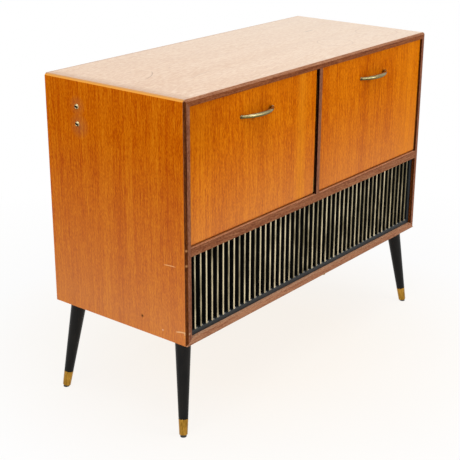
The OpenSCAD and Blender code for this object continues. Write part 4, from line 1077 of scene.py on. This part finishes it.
# %% Bow bar
bow, given = new_tree("bow bar", {
    "Start": tuple, "Middle": tuple, "End": tuple, "Middle Radius": float, "End Radius": float,
    "Material": bpy.types.Material})
arc = add(bow, "GeometryNodeCurveArc", {
    "Resolution": 49, "Start": given["Start"], "Middle": given["Middle"], "End": given["End"]}, mode="POINTS")
along = add(bow, "GeometryNodeSplineParameter").outputs["Factor"]
off = add(bow, "ShaderNodeMath", {0: along, 1: 2.0, 2: -1.0}, operation="MULTIPLY_ADD").outputs[0]
off = add(bow, "ShaderNodeMath", {0: off, 1: off}, operation="MULTIPLY").outputs[0]
radius = add(bow, "ShaderNodeMix", {
    0: off, 2: given["Middle Radius"], 3: given["End Radius"]}, data_type="FLOAT")
circle = add(bow, "GeometryNodeCurvePrimitiveCircle", {"Resolution": 28, "Radius": 1.0})
swept = add(bow, "GeometryNodeCurveToMesh", {
    "Curve": arc.outputs[0], "Profile Curve": circle.outputs[0], "Scale": radius.outputs[0],
    "Fill Caps": True})
close_tree(bow, swept.outputs[0], given["Material"])
print("tree:", bow.name, "nodes:", len(bow.nodes))

# %% [markdown]
# The bar stands on two small turned feet. Its faces are sorted by how far they look down: bright lacquer on
# top, a painted shade from just under the middle and a deeper painted shade underneath. The stays, the hinge
# plates and the catches are brass as well.

# %% Doors, handles and stays
SPAN, RISE, FOOT = 115.0, 17.5, 2.5
DULL_UNDER, BARE_UNDER = -0.05, -0.6
HANDLE_FOOT = [(0, -3.0), (3.6, -3.0), (4.2, -2.6), (4.7, -1.2), (4.7, 0), (0, 0)]

for side in ("left", "right"):
    leaf = side + "_door"
    low, high = cad(leaf)
    keep(side + "_door_leaf", eased(leaf, 0.9), leaf, "teak_door", [leaf])
    middle = (low.x + high.x) / 2
    centre_z = sum(corner.z for corner in cad(side + "_handle")) / 2
    handle = grow(bow, bmesh.new(), at=(middle, low.y, centre_z), Start=(-SPAN / 2, -FOOT, 0.0),
                  Middle=(0.0, -FOOT - RISE, 0.0), End=(SPAN / 2, -FOOT, 0.0), Middle_Radius=5.0,
                  End_Radius=3.5, Material=looks["bow_brass"])
    bmesh.ops.remove_doubles(handle, verts=handle.verts, dist=0.001)
    for end in (-1, 1):
        turned(handle, HANDLE_FOOT, (middle + end * SPAN / 2, low.y, centre_z), "Y", 28)
    # Faces that look down get the painted shade, and the deeper one where they look most down
    for face in handle.faces:
        face.normal_update()
        face.material_index = int(face.normal.z < DULL_UNDER) + int(face.normal.z < BARE_UNDER)
    keep(side + "_bow_handle", handle, leaf, ("bow_brass", "bow_olive", "tarnish"), [side + "_handle"])
    fittings = side + "_door_fittings"
    keep("eased_" + fittings, eased(fittings, 0.25), leaf, "brass", [fittings])
    for part in ("_stay_rod", "_stay_eye"):
        keep("eased_" + side + part, eased(side + part, 0.3), side + part, "brass", [side + part])
keep("eased_case_hardware", eased("case_hardware", 0.35), "cabinet", "brass", ["case_hardware"])
print("pieces so far:", len(made_pieces))

# %% [markdown]
# ## Screws
# A slotted screw is a chamfered head, a slot cut with a boolean and a shank. The tree stands one on
# every point of its input, turns its head to face a given way and then twists it by a random angle,
# as a screwdriver leaves it. All its sizes are shares of the head's radius, the head's rise and the
# shank's length. The slot is drawn wider than a real one, so that it shows in a small picture.

# %% Slotted screws
screw, given = new_tree("slotted screws", {
    "Facing": tuple, "Head": float, "Rise": float, "Shank": float, "Seed": int,
    "Material": bpy.types.Material})
chamfer, slot_long, slot_wide, slot_deep, thread, sink = [
    add(screw, "ShaderNodeMath", {0: given[size], 1: share}, operation="MULTIPLY").outputs[0]
    for size, share in (
        ("Head", 0.72), ("Head", 2.4), ("Head", 0.74), ("Rise", 0.9), ("Head", 0.42), ("Shank", -0.502))]

head = add(screw, "GeometryNodeMeshCone", {
    "Vertices": 32, "Radius Top": chamfer, "Radius Bottom": given["Head"], "Depth": given["Rise"]})
slot_size = add(screw, "ShaderNodeCombineXYZ", {0: slot_long, 1: slot_wide, 2: slot_deep})
slot_box = add(screw, "GeometryNodeMeshCube", {"Size": slot_size.outputs[0]})
at_crown = add(screw, "ShaderNodeCombineXYZ", {2: given["Rise"]}).outputs[0]
lifted = add(screw, "GeometryNodeTransform", {"Geometry": slot_box.outputs[0], "Translation": at_crown})
cut = add(screw, "GeometryNodeMeshBoolean", {"Mesh 1": head.outputs[0]}, operation="DIFFERENCE",
          solver="EXACT")
screw.links.new(lifted.outputs[0], cut.inputs["Mesh 2"])

shank = add(screw, "GeometryNodeMeshCylinder", {"Vertices": 14, "Radius": thread, "Depth": given["Shank"]})
in_board = add(screw, "ShaderNodeCombineXYZ", {2: sink}).outputs[0]
sunk = add(screw, "GeometryNodeTransform", {"Geometry": shank.outputs[0], "Translation": in_board})
whole = add(screw, "GeometryNodeJoinGeometry", {0: cut.outputs[0]})
screw.links.new(sunk.outputs[0], whole.inputs[0])

facing = add(screw, "FunctionNodeAlignRotationToVector", {"Vector": given["Facing"]}, axis="Z")
angle = add(screw, "FunctionNodeRandomValue", {2: 0.0, 3: math.pi, 8: given["Seed"]}, data_type="FLOAT")
twist = add(screw, "FunctionNodeAxisAngleToRotation", {"Axis": (0, 0, 1), "Angle": angle.outputs[1]})
turn = add(screw, "FunctionNodeRotateRotation", {0: facing.outputs[0], 1: twist.outputs[0]},
           rotation_space="LOCAL")
stood = add(screw, "GeometryNodeInstanceOnPoints", {
    "Points": given["Geometry"], "Instance": whole.outputs[0], "Rotation": turn.outputs[0]})
close_tree(screw, stood.outputs[0], given["Material"])


def fastened(places, facing, head, rise, shank, look, into=None, seed=5):
    """Screws whose heads look one way. The head's radius and rise and the shank's length are in mm."""
    dots = bmesh.new()
    for place in places:
        dots.verts.new(place)
    return grow(screw, dots, into=into, Facing=facing, Head=head, Rise=rise, Shank=shank, Seed=seed,
                Material=looks[look])


print("tree:", screw.name, "nodes:", len(screw.nodes))

# %% [markdown]
# The case screws are already there as plain solids, which say where each one sits, how long it is and which
# way it looks. So each solid is measured: its longest side is its axis, the rim of its head is where it is
# widest, and the head lies on the rim's side of the middle. Screws of one kind are then stood together. The
# slots are darkened by dirt and a painted shade, and on the heads in the left side a painted shade also
# darkens the flank that looks back and down.

# %% Case screws
solid = copied("case_screws")
groups = {}
for faces in islands(solid):
    corners = {v for face in faces for v in face.verts}
    low, high = extent(faces)
    long = max(range(3), key=lambda i: high[i] - low[i])
    axis = Vector([float(i == long) for i in range(3)])
    middle = (low + high) / 2
    wide = (high - low)[(long + 1) % 3] / 2
    rim = [v.co[long] for v in corners if (v.co - middle).cross(axis).length > wide * 0.97]
    way = 1 if sum(rim) / len(rim) > middle[long] else -1
    seat = min(rim) if way > 0 else max(rim)
    middle[long] = seat
    crown, tail = (high[long], low[long]) if way > 0 else (low[long], high[long])
    facing = tuple(float(way * (i == long)) for i in range(3))
    key = (facing, round(wide, 2), round(abs(crown - seat), 2), round(abs(seat - tail), 2))
    groups.setdefault(key, []).append(middle)
solid.free()

heads = bmesh.new()
for (way, wide, rise, shank_long), places in groups.items():
    known = len(heads.faces)
    fastened(places, way, wide, rise, shank_long, "screw_brass", into=heads, seed=19)
    heads.faces.ensure_lookup_table()
    for face in heads.faces[known:]:
        face.normal_update()
        height = (face.calc_center_median() - places[0]).dot(Vector(way))
        in_slot = 0.02 < height < rise * 0.97 and abs(face.normal.dot(Vector(way)) - 0.5) > 0.35
        # Slots: dirt and painted shade; on the left side the flanks that look back and down: painted shade
        face.material_index = int(in_slot or (way[0] < 0 and face.normal.y - face.normal.z > 0.1))
    print(len(places), "screws facing", way, "head radius", wide, "rise", rise, "shank", shank_long)
keep("slotted_case_screws", heads, "cabinet", ("screw_brass", "grime"), ["case_screws"])

# %% [markdown]
# ## Record deck
# The left half behind the doors holds an idler-driven deck on a wooden plinth. The plate is enamelled
# steel with two bare bearings in it, for the platter and for the idler wheel, so the faces near those
# two points that stand above or below the plate keep their steel.

# %% Deck plate
PLATE_Z = cad("motor_pulley")[0].z + 30
PLATE_THICK = 2.5
IDLER = (-343.85, 83.27)
BEARING = 13.5

plate = eased("deck_plate", 0.5)
for face in plate.faces:
    middle = face.calc_center_median()
    near = min((middle.xy - Vector(c)).length for c in (PLATTER, IDLER))
    proud = abs(middle.z - (PLATE_Z - PLATE_THICK / 2)) > PLATE_THICK / 2 + 0.05
    face.material_index = int(near < BEARING and proud)
keep("enamelled_deck_plate", plate, "cabinet", ("enamel", "steel"), ["deck_plate"])

print("deck plate at z", round(PLATE_Z, 1), "mm")

# %% [markdown]
# The platter and its rubber mat are round, so both are lathe profiles. The platter is a shallow bell
# with grooves round its rim and a spindle that rises through the mat. The mat's ribs come in groups
# of four, which a loop writes into its profile.

# %% Platter and mat
BELL, RIM, WALL, SPINDLE = 3.0, 130.0, 135.0, 3.6
MAT_HOLE, MAT_EDGE = 3.8, 132
lip = BELL + 22
under = lip - 3.5
platter_at = (*PLATTER, PLATE_Z)

profile = [(0, -25), (2.8, -25), (SPINDLE, -24.2), (SPINDLE, BELL), (14, BELL), (17, under - 4), (20, under),
           (RIM - 4, under), (RIM, under - 4), (RIM, BELL), (WALL - 1, BELL), (WALL, BELL + 1)]
for z in (BELL + 4, BELL + 8, BELL + 12):
    profile += [(WALL, z), (WALL - 0.7, z + 0.5), (WALL - 0.7, z + 1.5), (WALL, z + 2)]
profile += [(WALL, lip - 2.4), (WALL - 0.5, lip - 1), (WALL - 1.4, lip - 0.2), (WALL - 2.6, lip),
            (SPINDLE, lip), (SPINDLE, lip + 10), (3.3, lip + 12), (2.5, lip + 14), (1.2, lip + 14.8),
            (0, lip + 15)]
keep("spun_platter", turned(bmesh.new(), profile, platter_at, sides=96), "platter", "spun_alloy", ["platter"])

profile = [(MAT_HOLE, lip), (MAT_EDGE, lip), (MAT_EDGE, lip + 2.6), (131.6, lip + 3), (126.4, lip + 3),
           (126, lip + 2)]
for group in range(118, 33, -14):
    for k in range(4):
        outer = group + 8 - 2 * k
        profile += [(outer, lip + 2), (outer - 0.5, lip + 3), (outer - 1.3, lip + 3), (outer - 1.7, lip + 2)]
profile += [(4.4, lip + 2), (MAT_HOLE, lip + 1.6)]
mat = turned(bmesh.new(), profile, platter_at, sides=96, closed=True)
keep("ribbed_mat", mat, "platter", "rubber", ["platter_mat"])
print("platter top at z", round(PLATE_Z + lip, 1), "mm")

# %% [markdown]
# The motor pulley has four steps, one for each speed. The idler wheel links one of them to the inside
# of the platter's rim. Only its tyre is rubber, so its faces are sorted by their distance from the hub.

# %% Idler wheel, pulley and motor
HUB = 15
wheel = copied("idler_wheel")
for face in wheel.faces:
    face.material_index = int((face.calc_center_median().xy - Vector(IDLER)).length > HUB)
keep("tyred_idler", ease(wheel, 0.15), "idler_wheel", ("steel", "rubber"), ["idler_wheel"])
keep("stepped_pulley", eased("motor_pulley", 0.15), "motor_pulley", "brass", ["motor_pulley"])
keep("eased_deck_motor", eased("deck_motor", 0.6), "cabinet", "steel", ["deck_motor"])
print("pieces so far:", len(made_pieces))

# %% [markdown]
# The arm is a satin tube that tapers towards the headshell, with a cranked shell, a cartridge and a knurled
# counterweight. It rocks on cross pins in a yoke, and the yoke turns on a column. Everything is drawn from the
# point where the arm's two axes cross.

# %% Tonearm and its stand
ARM = Vector((-97, 70, 569.5))
COUNTERWEIGHT = [(0, 26), (10.8, 26), (12, 27), (12, 30, 0.0), (12, 30.4, 0.5), (12, 43.6, 0.5),
                 (12, 44, 0.0), (12, 45), (11, 45.4), (11, 46.4), (12, 46.8), (12, 49), (11, 50), (0, 50)]
arm = bmesh.new()
for tube in (((-191, 3.4), (-189, 3.9), (-150, 4.1), (-100, 4.3), (-50, 4.5), (-9, 4.5)),
             ((9, 4.5), (25.9, 4.5))):
    rod(arm, [ARM + Vector((0, y, 0)) for y, radius in tube], [radius for y, radius in tube], 28)
tint(arm, 0)
turned(arm, COUNTERWEIGHT, ARM, "Y", 144, 36)
tint(arm, 1)
join(arm, ease(slab(bmesh.new(), ARM + Vector((-5.5, -9, -5.5)), ARM + Vector((5.5, 9, 5.5))), 1.0))
tint(arm, 2)

shell = bmesh.new()
plan = [(-5, 6), (-7.6, 2), (-9, -6), (-9, -38), (-7.6, -41), (-5, -42),
        (5, -42), (7.6, -41), (9, -38), (9, -6), (7.6, 2), (5, 6)]
skin(shell, [[shell.verts.new((x, y, z)) for x, y in plan] for z in (-4, 2)], True)
ease(shell, 1.0)
slab(shell, (-7, -36, -12), (7, -14, -3.9))
turned(shell, [(0, -15.7), (0.5, -15.7), (2.5, -10.7), (0, -10.7)], (0, -27, 0), sides=16)
cranked = Matrix.Translation(ARM + Vector((0, -189, 0))) @ Matrix.Rotation(math.radians(-22), 4, "Z")
bmesh.ops.transform(shell, matrix=cranked, verts=shell.verts)
join(arm, shell)
tint(arm, 2)
keep("shaped_tonearm", arm, "tonearm", ("arm_tube", "steel", "ivory"), ["tonearm"])
keep("eased_gimbal", eased("arm_gimbal", 0.3), "arm_gimbal", "steel", ["arm_gimbal"])
keep("eased_arm_stand", eased("arm_stand", 0.5), "cabinet", "dark_plastic", ["arm_stand"])
print("arm's axes cross at", [round(x, 1) for x in ARM], "mm")

# %% [markdown]
# The speed knob is a fluted disc with a raised grip and a printed line. Round it, plain raised figures
# and dots on the plate tell the four speeds. The figures are text made into a mesh, and four more
# screws hold the plate.

# %% Speed knob, figures and deck screws
SPEED_KNOB = Vector((-55, -125, PLATE_Z))
DOTS_AT, FIGURES_AT, INK = 18.5, 25, 0.12
FLUTED_DISC = [(0, -2), (3, -2), (3, 0.4), (15.4, 0.4), (16, 1, 0.0), (15.9, 1.8, 0.7), (15, 7.2, 0.7),
               (14.9, 8, 0.0), (14.2, 9), (0, 9)]
knob = turned(bmesh.new(), FLUTED_DISC, SPEED_KNOB, sides=144, flutes=36)
grip = slab(bmesh.new(), SPEED_KNOB + Vector((-2.5, -13, 9)), SPEED_KNOB + Vector((2.5, 13, 15)))
join(knob, ease(grip, 1.2))
tint(knob, 0)
slab(knob, SPEED_KNOB + Vector((-0.6, 2, 14.9)), SPEED_KNOB + Vector((0.6, 12, 15.1)))
tint(knob, 1)
keep("fluted_speed_knob", knob, "speed_knob", ("ivory", "print_brown"), ["speed_knob"])


def figures(form, words, size, turn):
    """Thin raised figures, each standing at its own place."""
    letters = bmesh.new()
    for text, place in words:
        curve = bpy.data.curves.new("figures", "FONT")
        curve.body, curve.size, curve.extrude, curve.resolution_u = text, size, INK / 2, 2
        curve.align_x = curve.align_y = "CENTER"
        holder = bpy.data.objects.new("figures", curve)
        scene.collection.objects.link(holder)
        drawn = bpy.data.meshes.new_from_object(holder.evaluated_get(bpy.context.evaluated_depsgraph_get()))
        drawn.transform(Matrix.Translation(place) @ turn)
        letters.from_mesh(drawn)
        bpy.data.objects.remove(holder)
    bmesh.ops.remove_doubles(letters, verts=letters.verts, dist=0.001)
    join(form, letters)


speeds = bmesh.new()
words = []
for text, degrees in (("16", -45), ("33", 0), ("45", 45), ("78", 90)):
    out = Vector((math.sin(math.radians(degrees)), math.cos(math.radians(degrees)), 0))
    words.append((text, SPEED_KNOB + out * FIGURES_AT + Vector((0, 0, 0.05))))
    turned(speeds, [(0, 0), (0.8, 0), (0.8, INK), (0, INK)], SPEED_KNOB + out * DOTS_AT, sides=14)
figures(speeds, words, 7.0, Matrix.Identity(4))
keep("speed_figures", speeds, "cabinet", "print_brown")
deck_places = [(-452, -110, PLATE_Z), (-452, 110, PLATE_Z), (-28, -60, PLATE_Z), (-28, 120, PLATE_Z)]
keep("deck_screws", fastened(deck_places, (0.0, 0.0, 1.0), 3.2, 1.8, 12.0, "steel"), "cabinet", "steel")
print("speeds:", [text for text, where in words])

# %% [markdown]
# ## Radio
# The right half holds a moulded cream front with a wide dial window in a brass bezel, five push keys
# and three fluted knobs. The bezels are mouldings run round a rectangle, a few hundredths of a
# millimetre into the panel so that no gap shows.

# %% Panel, glass and bezels
PANEL_Y = -140
MID = KNOBS["tone"]
WINDOW = ((MID - 196, 656), (MID + 196, 746))
KEY_FIELD = ((MID - 125.5, 600), (MID + 125.5, 633))
# Outwards from the window's edge, and forwards from the panel
WIDE_BEZEL = ((6, 0.1), (6, -1), (5, -2.1), (1, -2.4), (-1, -2.2), (-2, -1.6), (-2, -1.05), (3.2, -1.05),
              (3.2, 0.1))
THIN_BEZEL = ((0, 0.1), (0, -0.5), (0.5, -0.8), (1, -0.5), (1, 0.1))

# The panel's bevel isn't clamped, because the slots between the keys would clamp it to nothing
keep("eased_radio_panel", eased("radio_panel", 0.4, clamp=False), "cabinet", "panel", ["radio_panel"])
keep("eased_dial_glass", eased("dial_glass", 0.4), "cabinet", "glass", ["dial_glass"])
trim = bmesh.new()
for field, bezel in ((WINDOW, WIDE_BEZEL), (KEY_FIELD, THIN_BEZEL)):
    framed(trim, *field, [(out, PANEL_Y + y) for out, y in bezel])
keep("brass_bezels", trim, "cabinet", "brass")
panel_places = [(x, PANEL_Y, z) for x in (MID - 217, MID + 217) for z in (475, 772)]
panel_screws = fastened(panel_places, (0.0, -1.0, 0.0), 3.4, 1.8, 10.0, "screw_brass")
keep("panel_screws", panel_screws, "cabinet", "screw_brass")
print("dial window:", WINDOW[1][0] - WINDOW[0][0], "mm wide")

# %% [markdown]
# Behind the glass a black plate carries four printed bands with plain frequency figures: a baseline,
# short ticks, longer ticks under the figures, and the figures themselves. The ticks come from the same
# tree as the slats, because a scale is a row of bars.

# %% Dial scale and pointer
BANDS = (
    (731, "88 90 92 94 96 98 100 102 104 106 108"), (711, "55 60 65 75 85 95 105 120 135 150 160"),
    (691, "6 7 8 9 10 11 12 13 14 16 18"), (671, "150 165 180 195 210 225 250 275 300 325 350"))
SCALE_LONG, FIGURE_STEP, TICK_HALF = 350, 35, 0.4
scale_from = MID - SCALE_LONG / 2
scale_y = cad("dial_pointer")[0].y + 3.5
print_y = (scale_y - 0.12, scale_y + 0.05)

keep("eased_scale_plate", eased("dial_scale", 0.3), "cabinet", "scale_black", ["dial_scale"])
scale = bmesh.new()
words = []
for z, band_figures in BANDS:
    slab(scale, (MID - 179, print_y[0], z - 0.5), (MID + 179, print_y[1], z))
    for step, tick_tall in ((7.0, 2.4), (35.0, 4.2)):
        tick = [(scale_from + side * TICK_HALF, print_y[k]) for side, k in ((-1, 0), (1, 0), (1, 1), (-1, 1))]
        grow(row, outline(tick, z), into=scale, Count=int(SCALE_LONG / step) + 1, Step=(step, 0.0, 0.0),
             Length=(0.0, 0.0, tick_tall), Material=looks["print_cream"])
    words += [(text, (scale_from + FIGURE_STEP * i, scale_y - 0.06, z - 4.4))
              for i, text in enumerate(band_figures.split())]
figures(scale, words, 7.0, Matrix.Rotation(math.pi / 2, 4, "X"))
for face in scale.faces:
    face.material_index = 0
keep("scale_print", scale, "cabinet", "print_cream")
keep("eased_pointer", eased("dial_pointer", 0.2), "dial_pointer", "pointer_red", ["dial_pointer"])
print("scale face at y", round(scale_y, 2), "mm, with", len(words), "figures")

# %% [markdown]
# Each knob is turned from ivory plastic, with a fluted side that gives the fingers a hold, a skirt, a
# brass cap and a printed line, and a shaft runs back from it into the set. The keys are the solids with
# well-rounded edges. Printed ticks round two of the knobs show how far they are turned.

# %% Knobs, keys and ticks
for name, r in (("volume", 22), ("tone", 17), ("tuning", 22)):
    at = Vector((KNOBS[name], PANEL_Y, KNOB_Z))
    cap = [(0, -22), (r - 8, -22), (r - 6.6, -21.6), (r - 6, -20.8), (r - 6, -20.02)]
    fluted = [(0, -20), (r - 1.4, -20, 0.0), (r - 0.4, -19.6, 0.9), (r, -18.8, 1.2), (r, -5, 1.2),
              (r, -4, 0.0)]
    skirt_and_shaft = [(r + 1, -4), (r + 1.5, -3.4), (r + 1.5, -1), (3, -1), (3, 56), (0, 56)]
    knob = turned(bmesh.new(), cap, at, "Y", 144)
    tint(knob, 1)
    turned(knob, fluted + skirt_and_shaft, at, "Y", 144, 24)
    tint(knob, 0)
    slab(knob, at + Vector((-0.5, -4.15, r + 0.1)), at + Vector((0.5, -3.9, r + 1.2)))
    tint(knob, 2)
    node = name + "_knob"
    keep("fluted_" + node, knob, node, ("ivory", name + "_cap", "print_brown"), [node])
for key in ("key_1", "key_2", "key_3", "key_4", "key_5"):
    keep("eased_" + key, eased(key, 0.9), key, "ivory", [key])

ticks = bmesh.new()
for x, reach in ((KNOBS["volume"], 27), (KNOBS["tone"], 22)):
    for k in range(11):
        longer = k % 5 == 0
        turn = Matrix.Translation((x, PANEL_Y, KNOB_Z)) @ Matrix.Rotation(math.radians(-140 + 28 * k), 4, "Y")
        size = Matrix.Diagonal((0.7, 0.24, 2 + 2 * longer, 1))
        bmesh.ops.create_cube(ticks, size=1, matrix=turn @ Matrix.Translation((0, 0, reach + longer)) @ size)
keep("knob_ticks", ticks, "cabinet", "print_brown")
print("pieces so far:", len(made_pieces))

# %% [markdown]
# The chassis behind the panel carries two transformers and six valves. The transformers are part of
# the chassis's solid, so they are found by their size: the ends of each are copper winding, and its
# middle is the stacked core.

# %% Chassis and transformers
TRAY_OVER, WINDING = 200, 8.9
tray = copied("radio_chassis")
parts = list(islands(tray))
for faces in parts:
    low, high = extent(faces)
    if high.x - low.x < TRAY_OVER:
        middle_y, reach = (high.y + low.y) / 2, (high.y - low.y) / 2
        for face in faces:
            face.material_index = 1 + int(abs(face.calc_center_median().y - middle_y) > reach - WINDING)
keep("eased_chassis", ease(tray, 0.35), "cabinet", ("chassis", "core", "copper"), ["radio_chassis"])
print("separate solids in the chassis:", len(parts))

# %% [markdown]
# Each valve is a hollow bulb with a plate structure, two mica discs and a silvery getter film in its
# dome. The solids tell only where the valves stand, so bulb and parts are drawn anew: the bulb as a
# closed lathe profile, out and back with a glass wall between, and the parts inside it.

# %% Valves
BULB = [(8.6, 0), (9.4, 0.6), (9.4, 7), (10.5, 10), (10.5, 46), (9, 51), (5, 54), (2, 55), (1.6, 60), (0, 61),
        (0, 53.8), (4.6, 53.2), (8.3, 50.3), (9.7, 45.7), (9.7, 10.4), (8.6, 7.2)]
BASE = [(0, 1), (8.4, 1), (8.4, 6.6), (6, 8), (0, 8)]
GETTER = [(0, 53.2), (4.4, 52.7), (8.0, 49.9), (9.4, 45.6), (9.1, 45.6), (7.7, 49.6), (4.2, 52.3), (0, 52.8)]
PLATE = [(0, 14), (6, 14, 0.0), (6.2, 14.4, 1.6), (6.2, 37.6, 1.6), (6, 38, 0.0), (0, 38)]

solid = copied("valves")
valve_places = []
for low, high in map(extent, islands(solid)):
    valve_places.append(Vector(((low.x + high.x) / 2, (low.y + high.y) / 2, low.z)))
solid.free()
bulbs, inner = bmesh.new(), bmesh.new()
for at in sorted(valve_places, key=lambda place: place.x):
    turned(bulbs, BULB, at, sides=32, closed=True)
    turned(inner, BASE, at, sides=24)
    for disc in (12, 40):
        turned(inner, [(0, disc), (8.6, disc), (8.6, disc + 0.6), (0, disc + 0.6)], at, sides=24)
    turned(inner, GETTER, at, sides=32)
    tint(inner, 1)
    turned(inner, PLATE, at, sides=48, flutes=4)
    for angle in (0.6, 2.2, 3.7, 5.3):
        stem = [at + Vector((7.2 * math.cos(angle), 7.2 * math.sin(angle), z)) for z in (8, 41)]
        rod(inner, stem, [0.5, 0.5], 8)
    tint(inner, 0)
keep("valve_bulbs", bulbs, "cabinet", "glass", ["valves"])
keep("valve_parts", inner, "cabinet", ("grey_paint", "mica"))
print("valves:", len(valve_places))

# %% [markdown]
# ## Closing
# The number of pieces that were kept is printed.

# %% Pieces kept
print("pieces kept:", len(made_pieces))
